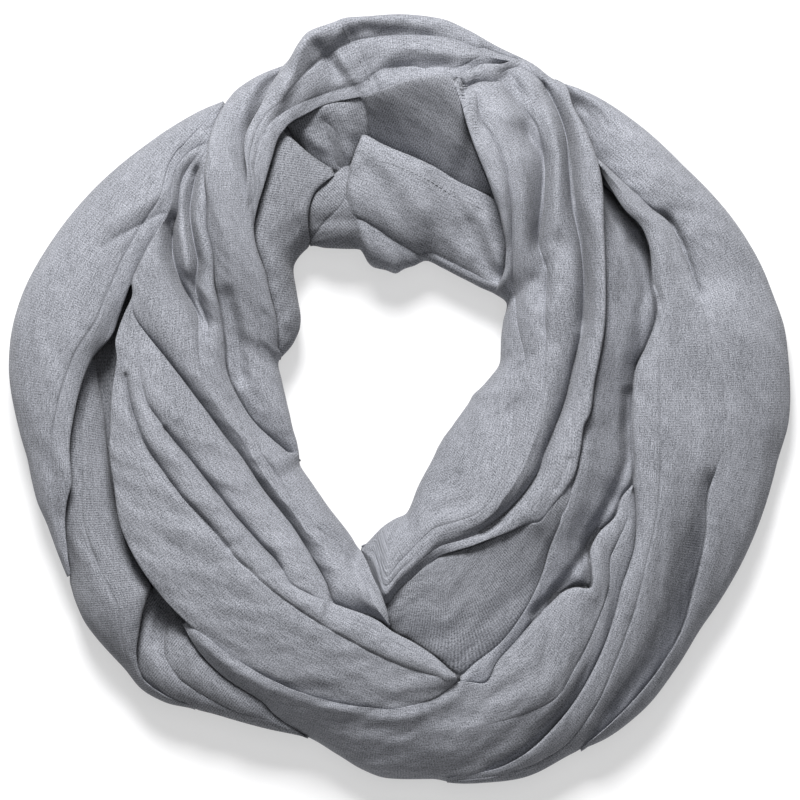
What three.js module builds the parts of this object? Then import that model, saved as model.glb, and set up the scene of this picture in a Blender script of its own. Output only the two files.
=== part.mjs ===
import * as THREE from 'three';

// An infinity scarf of jersey, wound twice into a ring and laid on a flat surface.
// Millimetres, +Z up, origin on the surface under the middle of the ring.
// Angles are degrees seen from above, counter-clockwise from +X.

// Cloth and heap
const WALL = 2.0;               // doubled jersey, with the loft of its folds
const SEAM_GAP = 0.3;           // between one stretch and the next
const RIM_HEIGHT = 22;          // height at which a rolled outline edge is widest
const FOOT_REACH = 9;           // how far a rolled outline edge turns under itself
const FOOT_HEIGHT = 3.1;        // underside of a rolled outline edge above the surface
const ROLL_POINT = [0.25, 0.45];      // between foot and rim: shares of the reach and of the rim's height
const HEM_DROP = 7;             // how far a stretch turns down where it meets the next
const LEAST_HEM_DROP = 1;
const HEM_MIDDLE = 0.58;
const LEAST_HEM_HEIGHT = 14;    // a turned edge stays this far off the surface
const ROLL_WIDTH = 11;          // a fold is rounded over this much of its width
const LEAST_FOLD = 5;           // no fold is narrower than this
const FULL_RISE_WIDTH = 14;     // a fold narrower than this stands lower
const WIDE_STEPS = [0.2, 0.5, 0.8];   // points across a fold of a stretch with few folds
const NARROW_STEPS = [0.3, 0.7];      // and of one with many
const FEW_FOLDS = 2;
const LEAST_MITRE = 0.45;       // keeps the wall's inner face short of a spike at a sharp crease

// Powers of the rounded curves, flat in the middle and steep at both sides
const HEAP_CURVE = { flat: 2.2, steep: 0.55 };
const FOLD_CURVE = { flat: 2.5, steep: 0.45 };

// Hidden layers
const CORE_STEPS = 8;
const CORE_INSET = 15;          // from the outline to where the layers are covered
const CORE_REACH = 14;
const CORE_CLEARANCE = 1.5;     // under the cloth that covers them
const CORE_LEAST_HEIGHT = 10;
const BARE_DEPTH = 34;          // below the heap's curve where no stretch covers them
// Layer edges at both sides, bottom first: [inset from the outline, height]
const EDGE_LAYERS = [[4, 0], [4, 2.7], [13, 2.8], [14.5, 6], [12.5, 9]];

// Crown height of the heap around the ring: [angle, height]
const CROWN = [
  [0, 56], [45, 60], [90, 63], [135, 58], [180, 55], [225, 57], [270, 59], [315, 57], [360, 56],
];

// Sections are taken at these angles; tips, notches and crossings each have one.
const SECTION_ANGLES = [
  0, 6, 12, 18, 24, 30, 36, 42, 47, 52, 58, 61, 65, 70, 76, 80, 86, 92, 96.5, 101, 105,
  109, 111, 114, 117, 120, 124, 128, 132, 136, 141, 147, 153, 160, 163, 166, 173, 180, 187,
  194, 200, 207, 213, 221, 225, 230, 237, 244, 250, 255, 261, 267, 272, 277, 282, 288, 293,
  297, 303, 309, 316, 322, 328, 334, 340, 346, 353,
];

// Outlines, edges and creases, each as rows of [angle, radius].
const LINES = {
  outer_rim: [
    [0, 211.5], [6, 211.7], [10, 212], [16, 210], [20, 209], [28, 205.5], [36, 201], [40, 199],
    [48, 197.5], [56, 196], [60, 194.5], [64.5, 192.3], [68, 195.5], [74, 198], [80, 204], [84, 207.5],
    [90, 208.5], [95, 208], [98, 208.5], [100, 207], [104, 205], [106, 200], [109, 192], [112, 192],
    [118, 190], [119.5, 188], [125, 190.5], [135, 195], [145, 201], [155, 207], [165, 212.5], [170, 213.5],
    [175, 212.5], [185, 206.5], [190, 204], [195, 204], [200, 202.5], [208, 204], [212, 207], [216, 209],
    [224, 208.3], [228, 210], [232, 207.5], [236, 201.5], [240, 197], [248, 192], [254.5, 189.5], [260, 195],
    [264, 201], [268, 205], [275, 206], [278, 209.5], [282, 212], [289, 215.2], [296, 213], [302, 214.7],
    [308, 213.5], [316, 208.5], [324, 204.5], [336, 205.3], [350, 207], [357, 211], [360, 211.5],
  ],
  hole_rim: [
    [0, 38], [4, 39.5], [8, 43.5], [14, 50], [20, 57.3], [26, 60.5], [32, 64.5], [38, 71],
    [42.5, 78.3], [48, 77], [56, 74.5], [64, 74], [72, 75], [79, 76.7], [84, 73], [88, 71],
    [92, 68.5], [96, 70.5], [101, 73], [103, 76], [104.7, 84], [110, 87], [116, 91.5], [120.5, 96.3],
    [125, 95], [129, 92], [132, 84.5], [136, 76.5], [140, 70], [146, 66], [152, 65.3], [158, 67],
    [162, 69], [170, 65], [180, 61.5], [190, 60], [200, 60], [208, 61.8], [213.5, 64.7], [220, 65],
    [228, 66.5], [236, 69.5], [244, 73.5], [250, 78], [255, 83.2], [258, 77], [262, 69.5], [268, 64],
    [273, 61.8], [276, 57], [280, 50], [284, 45.5], [290, 41], [300, 36], [310, 32.5], [322, 31],
    [336, 31.8], [348, 34], [360, 38],
  ],
  left_panel_edge: [
    [120, 186.8], [124, 179.5], [127, 173], [128.5, 175], [131, 175.5], [134, 173.5], [136, 170],
    [140, 161.5], [142, 160], [150, 158.7], [160, 158], [166, 158.5], [168, 160], [172, 167],
    [176, 171], [184, 177], [188, 180], [194, 182.5], [197, 188], [200, 192.5], [204, 197],
    [208, 201.5],
  ],
  left_panel_fold: [
    [124, 184], [134, 178], [140.5, 169], [148, 168], [156, 167.5], [164, 168.5], [172, 177],
    [184, 187], [208, 203],
  ],
  lower_turn_edge: [
    [172, 166], [176, 164], [184, 160], [192, 161], [200, 163.5], [208, 165.8], [216.5, 167.5], [218, 173],
    [220, 182], [222, 190], [224, 198], [226, 203], [228, 205.3], [231, 204.5], [234, 202], [237, 198],
  ],
  lower_turn_fold: [
    [172, 168], [180, 170.5], [188, 173.5], [194, 177.5], [202, 184], [215, 188], [225, 204],
    [237, 200],
  ],
  corner_hollow: [
    [217, 167], [221.5, 168], [223, 172], [226, 184], [228, 189], [232, 192], [244, 190],
    [255, 189],
  ],
  sweep_outer_edge: [
    [159, 154.5], [168, 156.5], [172, 154], [178, 155], [186, 157], [190, 159], [196, 160.5], [204, 165],
    [208, 166], [216, 166.5], [226, 166], [236, 165], [252, 166.5], [268, 166.5], [272, 165], [276, 162],
    [280, 157], [282, 154.5],
  ],
  sweep_crease: [
    [166, 151], [175, 148.5], [182, 144.5], [190, 139], [196, 133.5], [204, 128], [214, 122.5], [228, 122],
    [240, 124], [255, 130], [282, 154],
  ],
  sweep_inner_crease: [
    [166, 145], [180, 137], [184, 131], [188, 126], [196, 117], [204, 111.5], [212, 108.8], [220, 107.5],
    [230, 108], [234, 110], [239, 115],
  ],
  sweep_inner_edge: [
    [239, 115], [250, 115], [258, 116], [262, 117.5], [265, 120], [268, 124.5], [272, 129], [276, 135.5],
    [278, 140], [280, 146], [282, 153.5],
  ],
  fall_outer_crease: [
    [159, 154], [162, 151], [166, 139], [170, 127.5], [176, 115], [184, 103.5], [192, 96], [200, 90.5],
    [208, 88.5], [220, 87.7], [228, 88.8], [236, 93], [244, 100.5], [248, 106], [250, 110], [252, 114.5],
  ],
  fall_inner_edge: [
    [127, 171], [129, 166], [131, 161], [134, 149], [138, 140], [142, 127.5], [148, 118], [154, 107.5],
    [162, 99.5], [170, 95], [180, 86.5], [188, 80], [196, 73], [204, 67.5], [212, 65],
  ],
  pleat_low: [
    [128, 172], [130, 168], [134, 160.5], [138, 152.5], [142, 141.5], [146, 131.5], [152, 125], [158, 112],
    [170, 104], [200, 80], [255, 84],
  ],
  pleat_high: [
    [128, 173], [134, 168], [141, 158.5], [144, 152], [148, 144.5], [152, 133], [156, 120], [160, 112.5],
    [168, 107], [200, 84], [230, 80], [255, 84],
  ],
  fall_tip: [[255, 83.3], [258, 88], [262, 98], [265, 106], [267, 117], [267.6, 122.5]],
  inner_roll_crease: [
    [109, 191], [112, 184.5], [116, 174], [120, 166], [121.5, 161], [124, 147], [126, 141], [128, 134.5],
    [130, 126.5], [132, 117.5],
  ],
  inner_roll_edge: [
    [112.8, 158.5], [114, 157.5], [118, 147], [122, 137.5], [126, 130], [130, 122.5], [132, 117], [134, 110],
    [136, 101], [140, 92], [146, 80.5], [150, 76], [156, 72.5], [162, 69.5],
  ],
  inner_panel_end: [[106, 128.5], [108, 134.5], [110, 140.5], [111.5, 147], [112.8, 158]],
  under_layers_edge: [
    [104, 129.5], [108, 125], [112, 121.5], [114, 118], [116, 112.5], [118, 106], [120, 100.5],
  ],
  under_layers_fold: [[104, 115], [108, 108], [112, 105], [116, 101.5], [120, 98.5]],
  collar_edge: [
    [45, 79.5], [48, 84.5], [52, 92], [56, 102], [60, 109.5], [64, 118], [66, 120], [70, 120.7],
    [74, 121.5], [82, 127.5], [90, 134], [94, 138.5], [97, 143.5], [98, 144.5], [99, 141], [101, 133],
    [103, 124.5], [105, 113.5], [105.9, 104],
  ],
  collar_fold: [
    [45, 79], [52, 80.5], [56, 82.5], [60, 85.5], [64, 91], [68, 99], [71, 107], [74, 104],
    [80, 92], [86, 83], [90, 83], [94, 88], [98, 94.5], [102, 101], [105.9, 103],
  ],
  arch_bottom: [[96.3, 165], [104, 164.7], [108, 162.5], [112, 160.5], [112.8, 159]],
  panel_top: [[80.3, 176], [82, 176.3], [86, 174.5], [90, 171.3], [94, 167], [96.5, 164.7]],
  overlock_edge: [
    [65, 120], [66, 122], [68, 127], [72, 137], [76, 150.5], [78, 160.5], [79, 168], [80.3, 176],
  ],
  arch_end: [
    [68, 194.5], [70, 192], [71, 186], [72, 182], [73.5, 182.8], [76, 188.5], [77.3, 189.5], [78.3, 183],
    [79.5, 178], [80.3, 177],
  ],
  arch_low_crease: [
    [64, 190], [76, 190], [80, 182], [84, 178.5], [88, 180.5], [93, 179], [97, 172], [105, 170],
    [114, 166], [131, 118],
  ],
  arch_high_crease: [
    [64, 191], [76, 194], [84, 197.5], [90, 197], [96, 196], [102, 190], [109, 178], [118, 158],
    [131, 119],
  ],
  first_pleat: [
    [-105, 90], [-98, 100], [-92, 95], [-88, 88.5], [-84, 84], [-76, 79], [-64, 74.5], [-50, 74],
    [-42, 71], [-20, 64], [-8, 61.5], [4, 66], [14, 70], [30, 74], [46, 88], [54, 103],
    [60, 120], [64.5, 134], [70, 149], [74.3, 158], [76, 170], [80.3, 175.5],
  ],
  second_pleat: [
    [-105, 95], [-60, 79], [-20, 75], [10, 79], [26, 87], [30, 90], [36, 97], [42, 106],
    [48, 111.5], [50, 116.5], [54, 131.5], [58, 147], [60, 154], [64, 166], [68, 172.5], [72, 179.5],
    [75, 186], [80.3, 176],
  ],
  third_pleat: [
    [-105, 97], [-64, 86], [-54, 83.5], [-40, 83.7], [-28, 84], [-20, 82.5], [-12, 84], [0, 89],
    [10, 94], [20, 103.5], [30, 114.5], [40, 127.5], [48, 139.5], [54, 155], [58, 169], [64, 184],
    [68, 191.5], [70.5, 191], [80.3, 176.5],
  ],
  fourth_pleat: [
    [-38, 107.5], [-34, 107], [-26, 103.5], [-14, 100.8], [-9, 100], [-4, 103], [4, 104.8], [10, 108.5],
    [20, 117.5], [30, 128], [40, 143.5], [44, 152.5], [48, 162], [52, 170], [58, 181], [64.3, 192],
  ],
  lobe_inner_crease: [
    [-93.5, 111], [-92, 106], [-88, 99], [-80, 90], [-74, 86.5], [-60, 88.5], [-48, 93.5], [-44, 96],
    [-41, 100], [-39, 100.3], [-36, 100.2], [-30, 101.5], [-24, 102.9],
  ],
  lobe_outer_crease: [
    [-78, 153.5], [-74, 147.5], [-68, 142.5], [-60, 133], [-52, 123], [-44, 113], [-38, 109],
  ],
  strip_edge: [
    [-78, 154.5], [-76, 156.5], [-73, 159.5], [-70, 151], [-66, 146], [-58, 138.5], [-50, 135.5], [-47, 138],
    [-44.5, 147], [-42, 139], [-38, 130], [-34, 128.8], [-28, 132], [-24, 130.5], [-20, 133.5],
  ],
  outer_fold_edge: [
    [-20, 133.7], [-16, 131.5], [-12, 128.5], [-4, 125.3], [4, 126], [8, 128.5], [12, 135], [20, 147.5],
    [24, 149.3], [28, 153.5], [32, 158], [36, 160], [40, 158.5], [46, 161.5], [52, 168],
  ],
  lower_pleat: [
    [-84, 206], [-76, 206], [-72, 204], [-64, 194], [-52, 175], [-44, 162], [-40, 156], [-32, 149],
    [-24, 139], [-20, 134],
  ],
  upper_pleat: [
    [-84, 206.5], [-74, 211.5], [-66, 208.5], [-58, 197], [-50, 182], [-42, 170], [-30, 156],
    [0, 140], [52, 168],
  ],
  roll_pleat: [
    [-135, 170], [-100, 176], [-64, 182], [-56, 171], [-48, 159.5], [-42, 151.5], [-36, 141],
    [-22, 137],
  ],
  outer_valley: [
    [-63, 213], [-56, 208], [-48, 203], [-40, 197.5], [-32, 188], [-24, 180.5], [-16, 173.5], [-8, 176.5],
    [0, 174], [8, 171], [22, 170.5], [30, 173], [33, 174], [38, 170], [46, 168], [52, 168.3],
  ],
  roll_turn_edge: [[226, 168.5], [232, 174], [238, 177], [245, 178.5], [248, 182.5], [255, 189.3]],
};

// Each stretch of the wound scarf that shows. across runs from its inner to its outer edge, a row for
// each edge or crease: its line, its lift over the heap's own curve, and the rise of the fold after it.
// Where an edge follows several lines, they are rows of [line, last angle]; where a lift or a rise
// changes along the stretch, it has rows of [angle, value].
const STRETCHES = [
  {
    name: 'left_outer_panel', from: 124, to: 207, color: 0xa6a9b1,
    across: [
      {
        line: 'left_panel_edge',
        rise: 2,
        lift: [
          [120, -6], [126, -8], [132, -9], [141, -9], [153, -11], [160, -12], [166, -15], [170, -12],
          [182, -6], [207, -4],
        ],
      },
      {
        line: 'left_panel_fold',
        rise: 3,
        lift: [[120, -1], [132, -4], [141, -5], [153, -6], [162, -5], [170, -2], [207, -1]],
      },
      { line: 'outer_rim', lift: 0 },
    ],
  },
  {
    name: 'left_lower_turn', from: 180, to: 225, color: 0x8a8d95,
    across: [
      {
        line: 'lower_turn_edge',
        rise: 4,
        lift: [[172, -30], [187, -30], [200, -28], [213, -24], [220, -12], [226, -4], [237, -2]],
      },
      {
        line: 'lower_turn_fold',
        rise: 3,
        lift: [[172, -25], [187, -20], [194, -16], [207, -8], [225, -2]],
      },
      {
        line: [['left_panel_edge', 208], ['outer_rim']],
        lift: [[172, -22], [187, -17], [194, -15], [207, -9], [213, -3]],
      },
    ],
  },
  {
    name: 'bottom_left_turn', from: 221, to: 250, color: 0x7f828a,
    across: [
      {
        line: [['sweep_outer_edge', 231], ['roll_turn_edge']],
        rise: 3,
        lift: [[217, -26], [222, -28], [226, -25], [230, -17], [234, -12], [244, -10], [255, -8]],
      },
      {
        line: 'corner_hollow',
        rise: 3,
        lift: [[217, -31], [222, -28], [226, -16], [232, -7], [244, -3]],
      },
      {
        line: [['lower_turn_edge', 236], ['outer_rim']],
        lift: [[217, -28], [221, -22], [226, -12], [232, -6], [237, -1]],
      },
    ],
  },
  {
    name: 'front_sweep', from: 163, to: 277, color: 0x9fa2aa,
    across: [
      {
        line: [['fall_outer_crease', 250], ['sweep_inner_edge']],
        rise: [[163, 2], [187, 5], [230, 5], [250, 3]],
        lift: [[163, 0], [200, 1], [261, 2], [277, 1]],
      },
      {
        line: [['sweep_inner_crease', 239], ['sweep_inner_edge']],
        rise: [[163, 2], [187, 5], [221, 5], [277, 4]],
        lift: [[163, 1], [187, 1], [230, 2], [244, 4]],
      },
      {
        line: 'sweep_crease',
        rise: [[163, 2], [187, 3], [221, 1]],
        lift: [[163, 1], [187, 1], [207, 3], [221, 4], [262, 3], [277, 2]],
      },
      {
        line: 'sweep_outer_edge',
        lift: [[160, -1], [187, -1], [210, -3], [226, -5], [262, -4], [277, -2]],
      },
    ],
  },
  {
    name: 'left_pleated_fall', from: 132, to: 261, color: 0xadb0b8,
    across: [
      {
        line: [['fall_inner_edge', 206], ['hole_rim', 254], ['fall_tip']],
        rise: [[132, 5], [147, 6], [173, 3]],
        lift: [[128, -4], [134, -6], [160, -6], [190, -4], [207, 0], [261, -1]],
      },
      {
        line: 'pleat_low',
        rise: [[132, 5], [147, 6], [173, 2]],
        lift: [[128, -4], [134, -8], [153, -9], [164, -3], [173, 0]],
      },
      {
        line: 'pleat_high',
        rise: [[132, 5], [173, 5]],
        lift: [[128, -3], [134, -8], [141, -10], [153, -10], [160, -5], [173, 0]],
      },
      {
        line: [
          ['left_panel_edge', 157], ['sweep_outer_edge', 161], ['fall_outer_crease', 251],
          ['sweep_inner_edge'],
        ],
        lift: [[128, -4], [136, 1], [153, 1], [162, -3], [170, -8], [180, -10], [237, -11], [261, -12]],
      },
    ],
  },
  {
    name: 'left_inner_roll', from: 111, to: 200, color: 0x94979f,
    across: [
      {
        line: [['inner_roll_crease', 125], ['inner_roll_edge', 158], ['hole_rim']],
        rise: 4,
        lift: [[109, -14], [114, -17], [122, -14], [128, -6], [136, -1], [160, 0]],
      },
      {
        line: [['outer_rim', 120], ['left_panel_edge', 127], ['fall_inner_edge']],
        lift: [
          [109, -6], [116, -4], [121, 0], [128, 1], [134, -2], [141, -7], [153, -15], [180, -18],
          [211, -12],
        ],
      },
    ],
  },
  {
    name: 'inner_left_panel', from: 109, to: 153, color: 0x7c7f87,
    across: [
      {
        line: [['under_layers_edge', 119], ['hole_rim']],
        rise: 3,
        lift: [[106, -18], [112, -17], [120, -9], [132, -3]],
      },
      {
        line: [['inner_panel_end', 112.8], ['inner_roll_edge']],
        lift: [[106, -24], [112, -21], [118, -18], [130, -14], [141, -11], [153, -6]],
      },
    ],
  },
  {
    name: 'left_under_layers', from: 109, to: 117, color: 0x686b73,
    across: [
      { line: 'hole_rim', rise: 2, lift: -3 },
      { line: 'under_layers_fold', rise: 2, lift: -12 },
      { line: 'under_layers_edge', lift: [[104, -24], [120, -16]] },
    ],
  },
  {
    name: 'back_arch', from: 76, to: 124, color: 0x9b9ea6,
    across: [
      {
        line: [['arch_end', 80.3], ['panel_top', 96.5], ['arch_bottom', 112.8], ['inner_roll_edge']],
        rise: 1,
        lift: [
          [68, -4], [72, -18], [76, -12], [80, -16], [92, -22], [97, -28], [104, -28], [109, -18],
          [114, -9], [122, -6], [131, -3],
        ],
      },
      {
        line: 'arch_low_crease',
        rise: [[76, 3], [84, 1], [101, 1], [112, 2]],
        lift: [[68, -4], [76, -8], [80, -14], [90, -20], [96, -24], [104, -25], [110, -11], [116, -3]],
      },
      {
        line: 'arch_high_crease',
        rise: [[74, 3], [80, 1], [102, 1], [112, 4]],
        lift: [
          [68, -3], [76, -6], [84, -9], [92, -9], [98, -11], [104, -12], [109, -4], [114, -1],
          [124, -1],
        ],
      },
      {
        line: [['outer_rim', 109.5], ['inner_roll_crease']],
        lift: [[68, 0], [80, 4], [90, 10], [98, 18], [103, 20], [108, 8], [112, 0]],
      },
    ],
  },
  {
    name: 'back_inner_left', from: 96.5, to: 109, color: 0x54575e,
    across: [
      {
        line: [['collar_edge', 104], ['under_layers_edge', 106], ['inner_panel_end']],
        rise: 2,
        lift: [[95, -44], [112, -43]],
      },
      { line: 'arch_bottom', lift: [[95, -31], [104, -30], [112, -31]] },
    ],
  },
  {
    name: 'back_inner_panel', from: 70, to: 96.5, color: 0x6f727a,
    across: [
      { line: 'collar_edge', rise: 3, lift: [[65, -40], [80, -44], [96.5, -44]] },
      {
        line: [['overlock_edge', 80.3], ['panel_top']],
        lift: [[65, -36], [74, -28], [79, -8], [88, -6], [93, -9], [96.5, -18]],
      },
    ],
  },
  {
    name: 'collar_band', from: 52, to: 105, color: 0x9da0a8,
    across: [
      { line: 'hole_rim', rise: 1, lift: -1 },
      {
        line: 'collar_fold',
        rise: [[52, 2], [70, 2], [80, 3], [105, 3]],
        lift: [[45, -8], [52, -10], [64, -15], [72, -15], [80, -13], [92, -14], [105, -10]],
      },
      {
        line: 'collar_edge',
        lift: [[45, -16], [52, -20], [64, -22], [70, -19], [76, -16], [84, -15], [98, -16], [105, -14]],
      },
    ],
  },
  {
    name: 'right_pleated_fall', from: -99, to: 76, color: 0xb4b7bf,
    across: [
      {
        line: [['hole_rim', 50], ['collar_edge', 65], ['overlock_edge']],
        rise: [[-99, 2], [0, 4], [58, 6], [76, 3]],
        lift: [[-104, -10], [-96, -5], [-88, -1], [0, 0], [44, 0], [52, -2], [76, -2]],
      },
      {
        line: 'first_pleat',
        rise: [[-99, 3], [-42, 3], [40, 5], [58, 4], [76, 4]],
        lift: [
          [-104, -12], [-92, -8], [-60, -4], [-42, -1], [-6, -2], [18, -1], [40, -4], [58, -5],
          [70, -3], [76, -6],
        ],
      },
      {
        line: 'second_pleat',
        rise: [[-99, 3], [-42, 3], [20, 6], [36, 7], [58, 7], [70, 3]],
        lift: [
          [-104, -14], [-92, -10], [-60, -5], [-42, -1], [10, -1], [30, -3], [44, -11], [58, -13],
          [70, -12],
        ],
      },
      {
        line: 'third_pleat',
        rise: [[-99, 3], [-42, 4], [18, 7], [58, 8], [70, 3]],
        lift: [[-104, -15], [-92, -12], [-60, -12], [-20, -12], [18, -13], [58, -13], [70, -6]],
      },
      {
        line: [
          ['fall_tip', -96], ['lobe_inner_crease', -24], ['fourth_pleat', 61], ['outer_rim', 72],
          ['arch_end'],
        ],
        lift: [
          [-104, -20], [-97, -22], [-60, -12], [-40, -14], [-20, -7], [18, -1], [60, 0], [70, -2],
          [76, -5],
        ],
      },
    ],
  },
  {
    name: 'right_mid_strip', from: -72, to: 42, color: 0x8b8e96,
    across: [
      {
        line: [['lobe_outer_crease', -37], ['fourth_pleat']],
        rise: 4,
        lift: [
          [-78, -20], [-66, -26], [-56, -28], [-44, -22], [-36, -14], [-20, -11], [10, -10], [30, -12],
          [42, -18], [51, -24],
        ],
      },
      {
        line: [['strip_edge', -20], ['outer_fold_edge']],
        lift: [
          [-78, -16], [-66, -29], [-52, -36], [-44, -38], [-30, -36], [-12, -34], [0, -31], [10, -29],
          [18, -31], [30, -35], [42, -38], [51, -37],
        ],
      },
    ],
  },
  {
    name: 'right_lower_lobe', from: -93, to: -30, color: 0x6d7078,
    across: [
      {
        line: 'lobe_inner_crease',
        rise: 2,
        lift: [[-95, -22], [-80, -18], [-60, -18], [-48, -16], [-40, -12], [-32, -10], [-24, -9]],
      },
      {
        line: [['sweep_inner_edge', -78], ['lobe_outer_crease', -37], ['fourth_pleat']],
        lift: [[-95, -30], [-80, -33], [-60, -33], [-48, -28], [-40, -19], [-32, -12], [-24, -10]],
      },
    ],
  },
  {
    name: 'right_outer_fold', from: -72, to: 42, color: 0xa2a5ad,
    across: [
      {
        line: [['lower_pleat', -20.5], ['outer_fold_edge']],
        rise: [[-72, 3], [-42, 4], [0, 3]],
        lift: [[-83, -4], [-60, -5], [-40, -6], [-26, -8], [-16, -4], [10, -3], [42, -5], [51, -8]],
      },
      {
        line: 'upper_pleat',
        rise: [[-72, 3], [-20, 2], [-8, 0], [20, 0], [30, 3], [42, 4]],
        lift: [[-83, -3], [-57, -6], [-42, -5], [-20, 0], [0, 2], [42, 0]],
      },
      {
        line: [['outer_rim', -63], ['outer_valley']],
        lift: [
          [-83, -1], [-66, -4], [-57, -10], [-48, -15], [-38, -21], [-30, -19], [-20, -10], [-8, -3],
          [8, -3], [18, -4], [30, -8], [42, -8],
        ],
      },
    ],
  },
  {
    name: 'right_outer_panel', from: -57, to: 61, color: 0x989ba3,
    across: [
      {
        line: [['outer_valley', 52], ['fourth_pleat']],
        rise: [[-63, 3], [-20, 2], [-8, 0], [18, 0], [30, 4]],
        lift: [
          [-63, -2], [-50, -3], [-38, -5], [-20, -5], [-8, -3], [8, -3], [15, -5], [22, -15], [32, -14],
          [40, -8], [46, -16], [52, -28], [61, -24],
        ],
      },
      { line: 'outer_rim', lift: [[-63, -3], [-40, -6], [0, -8], [20, -6], [40, -1], [61, 0]] },
    ],
  },
  {
    name: 'front_lower_roll', from: -123, to: -26, color: 0x83868e,
    across: [
      {
        line: [['sweep_outer_edge', -78.5], ['strip_edge']],
        rise: [[-134, 1], [-123, 2], [-80, 2], [-70, 4]],
        lift: [
          [-134, -8], [-123, -3], [-100, -2], [-83, -3], [-74, -4], [-50, -4], [-44, -2], [-30, -8],
          [-20, -10],
        ],
      },
      {
        line: 'roll_pleat',
        rise: [[-134, 1], [-80, 1], [-66, 3]],
        lift: [[-134, -9], [-123, -5], [-100, -4], [-83, -4], [-63, -2], [-50, -7], [-38, -9], [-26, -9]],
      },
      {
        line: [['roll_turn_edge', -105], ['outer_rim', -76], ['lower_pleat']],
        lift: [
          [-134, -10], [-123, -8], [-110, -7], [-99, -6], [-83, -6], [-57, -12], [-40, -13], [-26, -12],
        ],
      },
    ],
  },
];

const radians = (degrees) => degrees * Math.PI / 180;
const mix = (a, b, share) => a + (b - a) * share;

// Height of a rounded curve, 1 at its middle and 0 at its side, at a distance from the middle of 0 to 1.
const rounded = (curve, distance) => Math.pow(1 - Math.pow(distance, curve.flat), curve.steep);

// Value at an angle of rows of [angle, value], straight between rows and level past their ends.
function valueAt(rows, angle) {
  if (typeof rows === 'number') return rows;
  const next = rows.findIndex(([a]) => a >= angle);
  if (next === 0) return rows[0][1];
  if (next < 0) return rows[rows.length - 1][1];
  const [[a0, v0], [a1, v1]] = [rows[next - 1], rows[next]];
  return mix(v0, v1, (angle - a0) / (a1 - a0));
}

// Radius of a named line at an angle, taken a full turn on or back where the line lies there.
function lineRadius(name, angle) {
  const rows = LINES[name];
  const [first, last] = [rows[0][0], rows[rows.length - 1][0]];
  const turned = [angle, angle + 360, angle - 360].find((a) => a >= first && a <= last);
  return valueAt(rows, turned ?? angle);
}

// The line that an edge follows at an angle.
function lineName(line, angle) {
  if (typeof line === 'string') return line;
  return line.find(([, last]) => last === undefined || angle <= last)[0];
}

// Height of the heap's own curve, round over the ring and steep at both rims.
function heapHeight(angle, radius) {
  const inner = lineRadius('hole_rim', angle);
  const outer = lineRadius('outer_rim', angle);
  const across = Math.min(Math.max((radius - inner) / (outer - inner), 0), 1);
  const turned = ((angle % 360) + 360) % 360;
  return mix(RIM_HEIGHT, valueAt(CROWN, turned), rounded(HEAP_CURVE, Math.abs(2 * across - 1)));
}

// Radii of a stretch's edges and creases, pushed apart where folds run together.
function creaseRadii(stretch, angle) {
  const names = stretch.across.map((row) => lineName(row.line, angle));
  const radii = names.map((name) => lineRadius(name, angle));
  const last = radii.length - 1;
  radii[0] += SEAM_GAP / 2;
  radii[last] -= SEAM_GAP / 2;
  const least = Math.min(LEAST_FOLD, (radii[last] - radii[0]) / last);
  for (let i = 1; i < last; i++) radii[i] = Math.max(radii[i], radii[i - 1] + least);
  for (let i = last - 1; i > 0; i--) radii[i] = Math.min(radii[i], radii[i + 1] - least);
  return { names, radii };
}

// An edge on an outline rolls under to just above the surface; any other edge turns straight down.
function turnedEdge(name, radius, height, inward) {
  if (name.endsWith('_rim')) {
    return [
      [radius + inward * FOOT_REACH, FOOT_HEIGHT],
      [radius + inward * FOOT_REACH * ROLL_POINT[0], height * ROLL_POINT[1]],
    ];
  }
  const drop = Math.max(LEAST_HEM_DROP, Math.min(HEM_DROP, height - LEAST_HEM_HEIGHT));
  return [[radius, height - drop], [radius, height - drop * HEM_MIDDLE]];
}

// Outer face of a stretch in the upright section at an angle: points of [radius, height], inner edge first.
function sectionTop(stretch, angle) {
  const { names, radii } = creaseRadii(stretch, angle);
  const lifts = stretch.across.map((row) => valueAt(row.lift, angle));
  const heights = radii.map((radius, i) => heapHeight(angle, radius) + lifts[i]);
  const last = radii.length - 1;
  const steps = last > FEW_FOLDS ? NARROW_STEPS : WIDE_STEPS;
  const points = turnedEdge(names[0], radii[0], heights[0], 1);
  for (let i = 0; i < last; i++) {
    points.push([radii[i], heights[i]]);
    const width = radii[i + 1] - radii[i];
    const rise = valueAt(stretch.across[i].rise, angle) * Math.min(1, width / FULL_RISE_WIDTH);
    for (const step of steps) {
      const radius = mix(radii[i], radii[i + 1], step);
      const toEdge = Math.min(step, 1 - step) * width;
      const lift = mix(lifts[i], lifts[i + 1], step);
      const fold = rise * rounded(FOLD_CURVE, 1 - Math.min(1, toEdge / ROLL_WIDTH));
      points.push([radius, heapHeight(angle, radius) + lift + fold]);
    }
  }
  points.push([radii[last], heights[last]]);
  points.push(...turnedEdge(names[last], radii[last], heights[last], -1).reverse());
  return points;
}

// Inner face: the outer face moved in by the wall, square to it.
function sectionUnder(top) {
  const normals = top.slice(1).map(([r, z], i) => {
    const [dr, dz] = [r - top[i][0], z - top[i][1]];
    const length = Math.hypot(dr, dz);
    return [dz / length, -dr / length];
  });
  return top.map(([r, z], i) => {
    const before = normals[Math.max(i - 1, 0)];
    const after = normals[Math.min(i, normals.length - 1)];
    const reach = WALL / Math.max(LEAST_MITRE, 1 + before[0] * after[0] + before[1] * after[1]);
    return [r + (before[0] + after[0]) * reach, z + (before[1] + after[1]) * reach];
  });
}

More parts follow.
